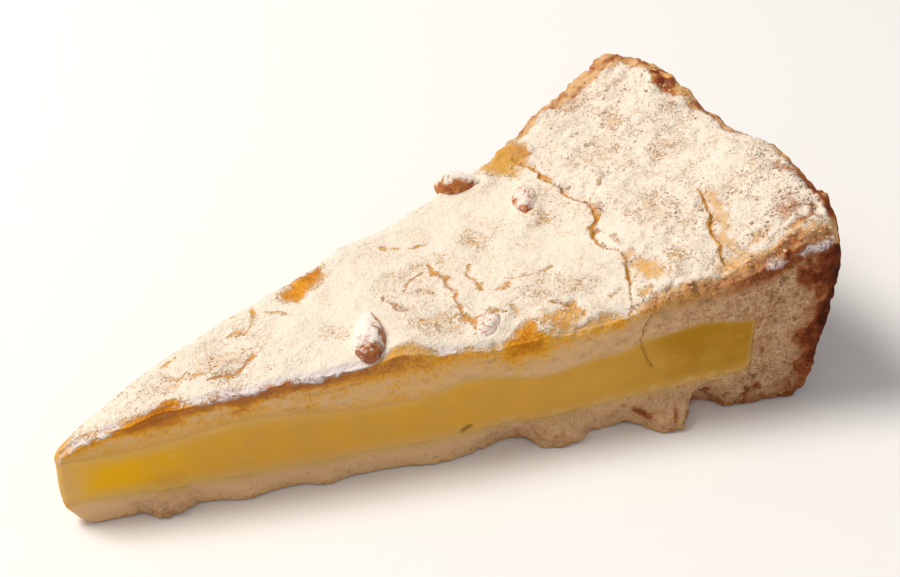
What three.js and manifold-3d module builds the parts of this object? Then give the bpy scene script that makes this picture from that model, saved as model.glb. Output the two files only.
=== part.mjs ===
// A slice of double-crust lemon tart: a shortcrust case, a layer of set lemon custard, a cracked
// shortcrust lid, and the pine nuts that were baked into the lid. Millimetres, +Z up.
// The slice points along -X, its rim is at +X, and it stands on z = 0.
//
// Every layer is a block of small cells bent into a wedge. Radii (r) are measured from the point
// where the two knife cuts would meet, just past the blunt tip, and angles from the middle line.
import * as THREE from "three";
import { mergeVertices } from "three/addons/utils/BufferGeometryUtils.js";
import Module from "manifold-3d";

const wasm = await Module();
wasm.setup();

// ---- Driving dimensions ----
const RIM_RADIUS = 133; // a 26 cm tart, and 3 mm more from its middle to where the cuts meet
const HALF_ANGLE = THREE.MathUtils.degToRad(14.7); // a twelfth of the tart
const TIP_RADIUS = 3.5;
const TIP_NOSE = 0.8; // how far the blunt tip is rounded out
const MIDDLE = 68.6; // from the cuts' meeting point to the middle of the slice
const FILLING_TIP = 4.3;
const FILLING_END = 119; // where the custard meets the wall
const LAYER_GAP = 0.3;
const CUT_CRUMB = 0.25; // relief of a cut through pastry
const WALL_UNEVENNESS = 0.9;
const BRIM_DRAWN_IN = 0.9; // rounds the top edge of the rim

// The outside of the wall and the tip, as [height, radius]: both are rounded at the foot.
const WALL_PROFILE = [
  [0, 127.8], [1.1, 129.4], [3.3, 130.3], [7.3, 130.9], [13.6, 132.1], [21, 133.1], [33, 134.1],
];
const TIP_PROFILE = [[0, 8.2], [0.9, 6.2], [2.3, 4.9], [4.6, 4.2], [10.8, 4.0], [15.7, 4.4], [17.5, 5.4]];

// Heights along the slice, as [radius, height].
const LID_HEIGHTS = [
  [3, 15.6], [10, 18.3], [28, 21.0], [52, 22.7], [78, 23.7],
  [92, 25.0], [105, 28.0], [120, 32.2], [128, 35.0], [131, 35.6], [133, 34.8],
];
const FILLING_HEIGHTS = [
  [3, 12.6], [18, 13.0], [32, 15.0], [52, 13.3], [61, 13.3], [70, 15.4],
  [83, 13.9], [98, 17.1], [109, 18.7], [119, 17.6], [126, 18.4], [133, 19.4],
];
const BASE_HEIGHTS = [[3, 4.6], [60, 4.4], [78, 5.0], [99, 6.2], [120, 7.7]];

// The rim rises and dips along its length, as [degrees from the middle, extra height].
const RIM_WAVE = [
  [-15, 0.6], [-12, 1.0], [-9.5, 0.3], [-7, 0.7], [-5, 1.0], [-2, 0.5], [0, -0.9],
  [2, -0.3], [4, -0.4], [6, 0.9], [8.5, 1.9], [10, 2.4], [13, 2.0], [15, 1.3],
];
const RIM_WAVE_FROM = 112;
const RIM_WAVE_FULL = 127;

// The lid's dough: broad lumps and the smaller ones on them, as [spacing, height, seed].
const LID_LUMPS = [[12, 1.1, 3], [5.5, 0.7, 8]];
const RIM_LUMPS = [[6, 1.2, 21]]; // and more of them towards the rim
// Single swellings of the lid: [x, y, height, radius].
const SWELLINGS = [
  [57, -14.5, 1.5, 5], [81, -18.5, 1.3, 4], [88, -20.5, 1.4, 3.5], [58, 14.5, 0.6, 5],
  [94, 24, -0.6, 4], [110, 28, 0.8, 5], [101.5, -24, 0.8, 4],
];

// The lid sinks gently towards the near cut, and rolls over at both cuts, as [radius, fall].
const NEAR_FALL = [
  [3, 0.2], [20, 0.3], [30, 0.5], [45, 1.1], [60, 1.6], [70, 2.3], [80, 3.2], [90, 3.6],
  [100, 2.5], [112, 2.6], [120, 3.0], [133, 3.4],
];
const FALL_WIDTH = 7;
const NEAR_ROLL = [[3, 0.8], [60, 0.7], [98, 0.8], [112, 1.2], [124, 1.6], [133, 1.2]];
const FAR_ROLL = [[3, 0.5], [60, 0.2], [133, 0.3]];
const ROLL_WIDTH = 1.1;

// Crumbs that stand out of the base's foot, and bites out of it, on each cut: [radius, reach, width].
const NEAR_CRUMBS = [
  [20, 1.7, 3], [32, 1.1, 3.5], [45, 1.2, 2.5], [64, 0.9, 5], [76, -1.9, 4.5],
  [85, 2.7, 4.2], [95, -1.1, 4], [103.6, 3.8, 3.4], [112, -3.2, 3.2],
];
const FAR_CRUMBS = [
  [26, 1.3, 4], [41, -0.9, 4], [58, 1.6, 4.5], [73, 0.8, 3], [90, -1.6, 5], [107, 2.4, 4.5],
];
const CRUMB_FULL_BELOW = 1.5;
const CRUMB_NONE_ABOVE = 6.5;

// Cracks across the lid, as points [x, y] along each.
const CRACKS = [
  [
    [99.5, 22], [100.6, 12.3], [102.2, 2], [101.2, -3.2], [98.7, -5], [98.9, -10],
    [98, -16.8], [95.8, -20], [94, -23.6], [93.2, -28],
  ],
  [[118, -9], [115.8, -16.7], [112, -21], [111.4, -26], [111.7, -32]],
];
const CRACK_WIDTH = 1.1;
const CRACK_DEPTH = 2.2;

// Pine nuts, with their middle at (x, y) and so far above the dough. The pointed end heads
// so many degrees from +X, and is tilted down.
const PINE_NUTS = {
  pine_nut_front: { x: 54.2, y: -7.9, heading: 62, tilt: 4, length: 12.2, thickness: 5.2, above: 0.1 },
  pine_nut_edge: { x: 88.2, y: 21.3, heading: -30, tilt: 0, length: 9.2, thickness: 5.0, above: 0.1 },
  pine_nut_back: { x: 94.6, y: 9.4, heading: -122, tilt: 8, length: 9.8, thickness: 4.7, above: -0.3 },
  pine_nut_buried: { x: 72.6, y: -14.0, heading: -150, tilt: 0, length: 7.5, thickness: 4.6, above: -0.6 },
};
const NUT_POINTEDNESS = 0.8; // 0 is an ellipsoid, 1 a teardrop
const NUT_SIDES = 12;
const NUT_RINGS = 9;
const NUT_CLEARANCE = 0.3;

// ---- Colours ----
const CRUST = new THREE.MeshStandardMaterial({ color: 0xc98f58, roughness: 0.85, metalness: 0 });
const CUSTARD = new THREE.MeshStandardMaterial({ color: 0xe0b03c, roughness: 0.35, metalness: 0 });
const SUGARED_LID = new THREE.MeshStandardMaterial({ color: 0xf3e2c8, roughness: 0.95, metalness: 0 });
const TOASTED_NUT = new THREE.MeshStandardMaterial({ color: 0xa8622c, roughness: 0.6, metalness: 0 });

// ---- Shape helpers ----
const { clamp, lerp, smoothstep } = THREE.MathUtils;

// A smooth curve through points [x, y], held level past its ends.
function curveThrough(points) {
  const slopes = points.slice(1).map(([x, y], i) => (y - points[i][1]) / (x - points[i][0]));
  const tangents = points.map((_, i) => {
    const before = slopes[Math.max(i - 1, 0)];
    const after = slopes[Math.min(i, slopes.length - 1)];
    return (before + after) / 2;
  });
  return (at) => {
    const x = clamp(at, points[0][0], points.at(-1)[0]);
    const i = clamp(points.findIndex(([px]) => px >= x) - 1, 0, slopes.length - 1);
    const span = points[i + 1][0] - points[i][0];
    const t = (x - points[i][0]) / span;
    const [y0, y1] = [points[i][1], points[i + 1][1]];
    const [m0, m1] = [tangents[i] * span, tangents[i + 1] * span];
    return (
      (2 * t ** 3 - 3 * t ** 2 + 1) * y0 + (t ** 3 - 2 * t ** 2 + t) * m0 +
      (3 * t ** 2 - 2 * t ** 3) * y1 + (t ** 3 - t ** 2) * m1
    );
  };
}

// Smooth noise from -0.5 to 0.5 on a lattice of one unit.
function noise(x, y, seed) {
  const lattice = (i, j) => {
    const s = Math.sin(i * 127.1 + j * 311.7 + seed * 74.7) * 43758.5453;
    return s - Math.floor(s);
  };
  const [i, j] = [Math.floor(x), Math.floor(y)];
  const [fx, fy] = [smoothstep(x - i, 0, 1), smoothstep(y - j, 0, 1)];
  const low = lerp(lattice(i, j), lattice(i + 1, j), fx);
  const high = lerp(lattice(i, j + 1), lattice(i + 1, j + 1), fx);
  return lerp(low, high, fy) - 0.5;
}

const bump = (distance, width) => Math.exp(-((distance / width) ** 2));

// ---- Surfaces of the slice ----
const lidHeight = curveThrough(LID_HEIGHTS);
const fillingHeight = curveThrough(FILLING_HEIGHTS);
const baseHeight = curveThrough(BASE_HEIGHTS);
const rimWave = curveThrough(RIM_WAVE);
const nearFall = curveThrough(NEAR_FALL);
const nearRoll = curveThrough(NEAR_ROLL);
const farRoll = curveThrough(FAR_ROLL);
const wallProfile = curveThrough(WALL_PROFILE);
const tipProfile = curveThrough(TIP_PROFILE);

const onPlan = (r, angle) => [r * Math.cos(angle), r * Math.sin(angle)];

function lidTop(r, angle) {
  const [x, y] = onPlan(r, angle);
  const degrees = THREE.MathUtils.radToDeg(angle);
  const nearRim = smoothstep(r, RIM_WAVE_FROM, RIM_WAVE_FULL);
  const lumps = ([spacing, rise, seed]) => rise * noise(x / spacing, y / spacing, seed);
  let height = lidHeight(r) + nearRim * rimWave(degrees);
  for (const layer of LID_LUMPS) height += lumps(layer);
  for (const layer of RIM_LUMPS) height += nearRim * lumps(layer);
  for (const [sx, sy, rise, radius] of SWELLINGS) height += rise * bump(Math.hypot(x - sx, y - sy), radius);
  height -= nearFall(r) * bump(r * Math.sin(HALF_ANGLE + angle), FALL_WIDTH);
  const toCut = r * Math.sin(HALF_ANGLE - Math.abs(angle));
  const roll = angle < 0 ? nearRoll(r) : farRoll(r);
  return height - roll * bump(toCut, ROLL_WIDTH);
}

function wallRadius(z, angle) {
  return wallProfile(z) + WALL_UNEVENNESS * noise((angle * RIM_RADIUS) / 7, z / 6, 31);
}

// From the tip (u = 0) to the outside of the wall (u = 1), at one height.
const alongSlice = (u, angle, z) => lerp(tipProfile(z), wallRadius(z, angle), u);

// Moves lines that run along the slice towards its cuts, where the surfaces turn most.
const crowdToCuts = (v) => Math.sign(v) * (1 - (1 - Math.abs(v)) ** 1.4);

// How far a cut face stands out of its plane. The foot of the base has crumbs and bites.
function cutRelief(r, z, side, crumbs) {
  const atFoot = 1 - smoothstep(z, CRUMB_FULL_BELOW, CRUMB_NONE_ABOVE);
  const reach = crumbs.reduce((sum, [at, out, width]) => sum + out * bump(r - at, width), 0);
  return atFoot * reach + CUT_CRUMB * noise(r / 4, z / 3, 50 + side);
}

// ---- Blocks bent into a wedge ----
// place(u, v, w) gives a corner's [r, angle, z], with u from tip to rim, v from -1 to 1 across, w upwards.
// outward(r, z, side) moves the two cut faces out of their planes.
function wedgeBlock([along, across, layers], place, outward = () => 0) {
  const geometry = new THREE.BoxGeometry(1, 1, 1, along, across, layers);
  const position = geometry.getAttribute("position");
  for (let i = 0; i < position.count; i++) {
    const v = 2 * position.getY(i);
    const [r, angle, z] = place(position.getX(i) + 0.5, v, position.getZ(i) + 0.5);
    const [x, y] = onPlan(r, angle);
    const nose = TIP_NOSE * (1 - v ** 2) * bump(r - TIP_RADIUS, 2);
    const side = Math.sign(v);
    const out = Math.abs(v) > 0.999 ? outward(r, z, side) : 0;
    position.setXYZ(i, x - nose - out * Math.sin(HALF_ANGLE), y + side * out * Math.cos(HALF_ANGLE), z);
  }
  return geometry;
}

// ---- Solids ----
function solidOf(geometry) {
  const bare = geometry.clone();
  bare.deleteAttribute("normal");
  bare.deleteAttribute("uv");
  const merged = mergeVertices(bare, 1e-4);
  const vertProperties = merged.attributes.position.array;
  const triVerts = new Uint32Array(merged.index.array);
  return new wasm.Manifold(new wasm.Mesh({ numProp: 3, vertProperties, triVerts }));
}

function geometryOf(solid) {
  const { vertProperties, triVerts } = solid.getMesh();
  const geometry = new THREE.BufferGeometry();
  geometry.setAttribute("position", new THREE.BufferAttribute(vertProperties, 3));
  geometry.setIndex(new THREE.BufferAttribute(triVerts, 1));
  geometry.computeVertexNormals();
  return geometry;
}

// Shortcrust case: the base with the wall standing on its end, and the filling's hollow cut out of it.
function makeCase() {
  const crowding = 1.6; // brings the rows of cells closer together towards the foot
  const block = wedgeBlock(
    [40, 10, 6],
    (u, v, w) => {
      const angle = crowdToCuts(v) * HALF_ANGLE;
      const z = (fillingHeight(lerp(TIP_RADIUS, RIM_RADIUS, u)) - LAYER_GAP) * w ** crowding;
      return [alongSlice(u, angle, z), angle, z];
    },
    (r, z, side) => cutRelief(r, z, side, side < 0 ? NEAR_CRUMBS : FAR_CRUMBS),
  );
  const pastCuts = 1.6; // the hollow runs out through the tip, both cuts and the top
  const pastTop = 40;
  const hollow = wedgeBlock([28, 12, 1], (u, v, w) => {
    const r = lerp(0.5, FILLING_END, u);
    return [r, v * pastCuts * HALF_ANGLE, w === 0 ? baseHeight(r) : pastTop];
  });
  return geometryOf(solidOf(block).subtract(solidOf(hollow)));
}

// Set lemon custard: fills the case from the tip to the wall, and shows at both cuts.
function makeFilling() {
  return wedgeBlock(
    [30, 6, 3],
    (u, v, w) => {
      const r = lerp(FILLING_TIP, FILLING_END - LAYER_GAP, u);
      return [r, v * HALF_ANGLE, lerp(baseHeight(r) + LAYER_GAP, fillingHeight(r) - LAYER_GAP, w)];
    },
    () => -0.2,
  );
}

// A pine nut: round at one end and pointed at the other. A clearance swells it into its socket.
function nutGeometry({ x, y, heading, tilt, length, thickness, above }, clearance = 0) {
  const widest = (1 + NUT_POINTEDNESS) / (2 + NUT_POINTEDNESS);
  const taper = (q) => q ** ((1 + NUT_POINTEDNESS) / 2) * Math.sqrt(1 - q);
  const profile = Array.from({ length: NUT_RINGS + 1 }, (_, i) => {
    const turn = (Math.PI * i) / NUT_RINGS;
    const radius = (thickness / 2 + clearance) * (taper(Math.sin(turn / 2) ** 2) / taper(widest));
    const onAxis = i === 0 || i === NUT_RINGS;
    return new THREE.Vector2(onAxis ? 0 : radius, -(length / 2 + clearance) * Math.cos(turn));
  });
  return new THREE.LatheGeometry(profile, NUT_SIDES)
    .rotateZ(Math.PI / 2) // the pointed end, at -Y, turns to +X
    .rotateY(THREE.MathUtils.degToRad(tilt))
    .rotateZ(THREE.MathUtils.degToRad(heading))
    .translate(x, y, lidTop(Math.hypot(x, y), Math.atan2(y, x)) + above);
}

// A crack: a V-shaped groove that follows the top of the lid.
function crackGeometry(path) {
  const above = 2; // how far the cutting wedge stands out of the dough
  const route = new THREE.CatmullRomCurve3(path.map(([x, y]) => new THREE.Vector3(x, y, 0)));
  const geometry = new THREE.BoxGeometry(1, 1, 1, 3 * path.length, 1, 1);
  const position = geometry.getAttribute("position");
  for (let i = 0; i < position.count; i++) {
    const along = position.getX(i) + 0.5;
    const { x, y } = route.getPoint(along);
    const heading = route.getTangent(along);
    const isTop = position.getZ(i) > 0;
    const halfWidth = isTop ? CRACK_WIDTH : 0.1;
    const side = Math.sign(position.getY(i)) * halfWidth;
    const z = lidTop(Math.hypot(x, y), Math.atan2(y, x)) + (isTop ? above : -CRACK_DEPTH);
    position.setXYZ(i, x - side * heading.y, y + side * heading.x, z);
  }
  return geometry;
}

// Shortcrust lid: lumpy, rolled over at the cuts, cracked, with a socket for each pine nut.
function makeLid() {
  const block = wedgeBlock(
    [50, 18, 3],
    (u, v, w) => {
      const angle = crowdToCuts(v) * HALF_ANGLE;
      const flatRadius = lerp(TIP_RADIUS, RIM_RADIUS, u);
      const z = lerp(fillingHeight(flatRadius), lidTop(flatRadius, angle), w);
      return [alongSlice(u, angle, z) - BRIM_DRAWN_IN * u * w ** 5, angle, z];
    },
    (r, z, side) => cutRelief(r, z, side, []),
  );
  let lid = solidOf(block);
  for (const nut of Object.values(PINE_NUTS)) lid = lid.subtract(solidOf(nutGeometry(nut, NUT_CLEARANCE)));
  for (const crack of CRACKS) lid = lid.subtract(solidOf(crackGeometry(crack)));
  const [largest] = lid.decompose().sort((a, b) => b.volume() - a.volume()); // no loose scraps
  return geometryOf(largest);
}

// ---- The slice ----
const slice = new THREE.Group();
slice.position.x = -MIDDLE;

function addMesh(name, geometry, material) {
  const mesh = new THREE.Mesh(geometry, material);
  mesh.name = name;
  slice.add(mesh);
}

addMesh("shortcrust_case", makeCase(), CRUST);
addMesh("lemon_custard", makeFilling(), CUSTARD);
addMesh("shortcrust_lid", makeLid(), SUGARED_LID);
for (const [name, nut] of Object.entries(PINE_NUTS)) addMesh(name, nutGeometry(nut), TOASTED_NUT);

export default slice;
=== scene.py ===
# %% [markdown]
# # A slice of double-crust lemon tart
# The slice is a wedge of three baked layers: a shortcrust case, set lemon custard, and a shortcrust lid
# that is dusted with icing sugar and has pine nuts baked into it. Each layer is built here as one closed
# shell of small cells, bent into a wedge. A sculpted or scanned slice would look as real, but a shell
# that is worked out from measures can be changed, and both cuts stay flat where a knife went through.

import math

import bmesh
import bpy
import numpy as np
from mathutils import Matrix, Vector


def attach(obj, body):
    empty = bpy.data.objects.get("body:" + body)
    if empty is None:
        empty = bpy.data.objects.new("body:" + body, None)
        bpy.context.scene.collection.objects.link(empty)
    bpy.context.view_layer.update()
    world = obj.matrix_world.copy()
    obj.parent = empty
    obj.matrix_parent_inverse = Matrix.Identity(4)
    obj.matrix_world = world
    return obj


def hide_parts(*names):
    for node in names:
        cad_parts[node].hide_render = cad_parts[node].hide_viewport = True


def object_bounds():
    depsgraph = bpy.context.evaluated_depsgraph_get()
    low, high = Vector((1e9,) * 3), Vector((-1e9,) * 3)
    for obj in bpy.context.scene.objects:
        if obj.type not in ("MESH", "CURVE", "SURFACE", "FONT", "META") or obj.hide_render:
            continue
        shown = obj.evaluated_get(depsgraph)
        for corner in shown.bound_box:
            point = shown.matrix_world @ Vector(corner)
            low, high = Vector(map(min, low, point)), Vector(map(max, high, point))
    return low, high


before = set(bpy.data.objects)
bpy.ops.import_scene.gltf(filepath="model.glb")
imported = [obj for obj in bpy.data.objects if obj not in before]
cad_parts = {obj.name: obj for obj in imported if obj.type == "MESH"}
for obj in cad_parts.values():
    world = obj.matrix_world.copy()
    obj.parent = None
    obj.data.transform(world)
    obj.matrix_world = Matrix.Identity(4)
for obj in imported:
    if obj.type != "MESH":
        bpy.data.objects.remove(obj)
cad_low, cad_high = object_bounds()
print("frame nodes:", sorted(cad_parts))

# %% [markdown]
# ## Measures
# Everything is worked out in millimetres from the point where the two knife cuts would meet, because a
# wedge is simple in polar form: a radius, an angle from the middle line and a height. The same few
# profiles shape the solids of the frame, so each piece lies where its solid is.

# %% Driving measures of the slice, in millimetres
MEETING_X = -68.6  # where the cuts would meet
HALF_ANGLE = math.radians(14.7)
TIP_RADIUS = 3.5
RIM_RADIUS = 133.0
FILLING_TIP = 4.3
FILLING_END = 119.0
TIP_NOSE = 0.8  # how far the tip bulges between the cuts
BRIM_DRAWN_IN = 0.9  # how far the top of the rim leans in


def curve_through(*points):
    """A smooth curve through points (x, y), held level past its ends."""
    xs, ys = np.array(points, float).T
    slopes = np.diff(ys) / np.diff(xs)
    tangents = (np.append(slopes[0], slopes) + np.append(slopes, slopes[-1])) / 2

    def at(x):
        x = np.clip(x, xs[0], xs[-1])
        i = np.clip(np.searchsorted(xs, x) - 1, 0, len(slopes) - 1)
        span = xs[i + 1] - xs[i]
        t = (x - xs[i]) / span
        return (
            (2 * t**3 - 3 * t**2 + 1) * ys[i]
            + (t**3 - 2 * t**2 + t) * tangents[i] * span
            + (3 * t**2 - 2 * t**3) * ys[i + 1]
            + (t**3 - t**2) * tangents[i + 1] * span
        )

    return at


wall_profile = curve_through(
    (0, 127.8), (1.1, 129.4), (3.3, 130.3), (7.3, 130.9), (13.6, 132.1), (21, 133.1), (33, 134.1)
)
tip_profile = curve_through(
    (0, 8.2), (0.9, 6.2), (2.3, 4.9), (4.6, 4.2), (10.8, 4.0), (15.7, 4.4), (17.5, 5.4)
)
lid_height = curve_through(
    (3, 15.6), (10, 18.3), (28, 21.0), (52, 22.7), (78, 23.7),
    (92, 25.0), (105, 28.0), (120, 32.2), (128, 35.0), (131, 35.6), (133, 34.8),
)
filling_height = curve_through(
    (3, 12.6), (18, 13.0), (32, 15.0), (52, 13.3), (61, 13.3), (70, 15.2), (83, 13.4), (90, 15.0),
    (96.5, 15.9), (99, 17.0), (104, 17.7), (109, 18.7), (119, 17.6), (126, 18.4), (133, 19.4),
)
base_height = curve_through((3, 4.6), (60, 4.4), (78, 5.0), (99, 6.2), (120, 7.7))
rim_wave = curve_through(
    (-15, 0.6), (-12, 1.0), (-9.5, 0.3), (-7, 0.7), (-5, 1.0), (-2, 0.5), (0, -0.9),
    (2, -0.3), (4, -0.4), (6, 0.9), (8.5, 1.9), (10, 2.4), (13, 2.0), (15, 1.3),
)
near_fall = curve_through(
    (3, 0.2), (20, 0.3), (30, 0.5), (45, 1.1), (60, 1.6), (70, 2.3), (80, 3.2), (90, 3.6),
    (100, 2.5), (112, 2.6), (120, 3.0), (133, 3.4),
)
near_roll = curve_through((3, 0.8), (60, 0.7), (98, 0.8), (112, 1.2), (124, 1.6), (133, 1.2))
far_roll = curve_through((3, 0.5), (60, 0.2), (133, 0.3))
print("lid over the tip, middle and rim:", [round(float(lid_height(r)), 1) for r in (5, 68, 130)], "mm")

# %% [markdown]
# ## Unevenness
# Dough is lumpy at every size. Value noise on a lattice gives one size of lump at a time, so the broad
# lumps can be the ones the solid has, with finer ones laid over them. Crumb breaks into rounded chunks
# with creases between them, and the distance to scattered points draws just that.

# %% Noise and chunks
def rise(low, high, x):
    """0 below low, up to 1 above high, with no kink."""
    t = np.clip((x - low) / (high - low), 0, 1)
    return t * t * (3 - 2 * t)


def mix(a, b, t):
    return a + (b - a) * t


def fall(low, high, x):
    """1 below low, down to 0 above high."""
    return 1 - rise(low, high, x)


def bump(distance, width):
    """1 at a distance of 0, and close to 0 from twice the width on."""
    return np.exp(-((distance / width) ** 2))


def polar(x, y):
    return np.hypot(x, y), np.arctan2(y, x)


def on_flat(r, angle):
    return r * np.cos(angle), r * np.sin(angle)


def to_nearer_cut(r, angle):
    return r * np.sin(HALF_ANGLE - np.abs(angle))


def to_near_cut(r, angle):
    return r * np.sin(HALF_ANGLE + angle)


def lattice(i, j, seed):
    """A number from 0 to 1 that looks random, for each point of a lattice."""
    s = np.sin(i * 127.1 + j * 311.7 + seed * 74.7) * 43758.5453
    return s - np.floor(s)


def noise(x, y, seed):
    """Smooth noise from -0.5 to 0.5 on a lattice of one unit."""
    i, j = np.floor(x), np.floor(y)
    fx, fy = rise(0, 1, x - i), rise(0, 1, y - j)
    low = mix(lattice(i, j, seed), lattice(i + 1, j, seed), fx)
    high = mix(lattice(i, j + 1, seed), lattice(i + 1, j + 1, seed), fx)
    return mix(low, high, fy) - 0.5


def lumps(x, y, spacing, seed):
    """Noise of one spacing on a lattice that is turned, so that no two layers line up."""
    c, s = math.cos(2.4 * seed), math.sin(2.4 * seed)
    return noise((x * c - y * s) / spacing, (x * s + y * c) / spacing, seed)


def chunks(x, y, spacing, seed):
    """1 in the middle of each chunk, down to about 0 in the creases between chunks."""
    x, y = x / spacing, y / spacing
    nearest = np.full(np.shape(x), 9.0)
    for di in (-1, 0, 1):
        for dj in (-1, 0, 1):
            i, j = np.floor(x) + di, np.floor(y) + dj
            away = np.hypot(x - i - lattice(i, j, seed), y - j - lattice(i, j, seed + 5))
            nearest = np.minimum(nearest, away)
    return 1 - np.clip(nearest, 0, 1)


# %% [markdown]
# ## The lid's top
# The lid rises from the tip to the rim in broad swells, sinks over the cuts, and is cracked twice across.
# The broad form is the solid's. On it go lumps of 1 to 4 mm, which grow towards the rim, and grooves with
# ragged sides for the cracks.

# %% Broad form of the lid
SWELLINGS = [  # x, y, height, radius
    (57, -14.5, 1.5, 5), (81, -18.5, 1.3, 4), (88, -20.5, 1.4, 3.5), (58, 14.5, 0.6, 5),
    (94, 24, -0.6, 4), (110, 28, 0.8, 5), (101.5, -24, 0.8, 4),
]
FALL_WIDTH = 7  # how far in the lid sinks over the near cut
ROLL_WIDTH = 1.1  # how far in its edge rolls over


def lid_form(r, angle):
    """Height of the lid before its fine lumps: the form that the solid has."""
    x, y = on_flat(r, angle)
    near_rim = rise(112, 127, r)
    height = lid_height(r) + near_rim * rim_wave(np.degrees(angle))
    height = height + 1.1 * noise(x / 12, y / 12, 3) + 0.7 * noise(x / 5.5, y / 5.5, 8)
    height = height + near_rim * 1.2 * noise(x / 6, y / 6, 21)
    for at_x, at_y, swell, radius in SWELLINGS:
        height = height + swell * bump(np.hypot(x - at_x, y - at_y), radius)
    height = height - near_fall(r) * bump(to_near_cut(r, angle), FALL_WIDTH)
    roll = mix(near_roll(r), far_roll(r), rise(-0.5, 0.5, angle / HALF_ANGLE))
    return height - roll * bump(to_nearer_cut(r, angle), ROLL_WIDTH)


# %% [markdown]
# ## Cracks
# The lid cracked across as it cooled and the custard sank. A crack is a groove along a listed line;
# noise pushes the line about and changes its width, so both its sides are ragged.

# %% Cracks across the lid
CRACKS = [  # points x, y along each crack, and its half width
    ([(99.5, 22), (100.6, 17), (100.4, 12.6), (101.6, 7), (102, 2), (102.1, -2), (99.4, -3.6), (98.3, -6),
      (97.9, -10), (99, -13), (98.4, -16.6), (96.4, -19.2), (95.4, -22), (94.4, -23.8)], 0.32),
    ([(102.5, 1.5), (105, 3.6), (108.6, 6.2)], 0.2),
    ([(117.6, -9), (116, -13.4), (114.6, -16.6), (113, -19), (111.9, -22.6), (111, -26), (112.2, -28.2),
      (115, -29.4)], 0.32),
    ([(107.8, -25.2), (111.3, -23)], 0.2),
    ([(84, -15.6), (86, -17.4), (87.2, -20.4)], 0.26),
]
CRACK_DEPTH = 0.9
WIDEST_HALF = 0.32  # half width of a crack of full depth


def to_line(x, y, points):
    """Distance from each x, y to a line through points."""
    nearest = np.full(np.shape(x), 1e9)
    for (ax, ay), (bx, by) in zip(points, points[1:]):
        length = math.hypot(bx - ax, by - ay)
        ux, uy = (bx - ax) / length, (by - ay) / length
        along = np.clip((x - ax) * ux + (y - ay) * uy, 0, length)
        nearest = np.minimum(nearest, np.hypot(x - ax - along * ux, y - ay - along * uy))
    return nearest


def crack_depth(x, y, wider=1):
    """From 0 on whole dough to 1 at the bottom of a crack."""
    ragged_x = x + 0.9 * lumps(x, y, 1.7, 41) + 0.5 * lumps(x, y, 0.8, 42)
    ragged_y = y + 0.9 * lumps(x, y, 1.7, 43) + 0.5 * lumps(x, y, 0.8, 44)
    depth = np.zeros(np.shape(x))
    for points, half_width in CRACKS:
        width = wider * half_width * np.clip(0.95 + 1.5 * lumps(x, y, 4, 45), 0.3, 1.5)
        away = to_line(ragged_x, ragged_y, points)
        depth = np.maximum(depth, fall(0, 1, away / width) * min(1, half_width / WIDEST_HALF))
    return depth


print(len(CRACKS), "cracks")

# %% [markdown]
# ## Where the sugar lies
# Icing sugar is sieved over the baked lid. It lies thick on most of it, thins to specks, and is missing
# where the crust is bare: over cracks, on swells that were touched, at the rim. A painted image could
# say where, but a short list of patches is easier to change: each has a place, a size, how bare it is,
# and how golden and how brown the crust is that shows. Noise then makes every edge ragged.

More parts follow.
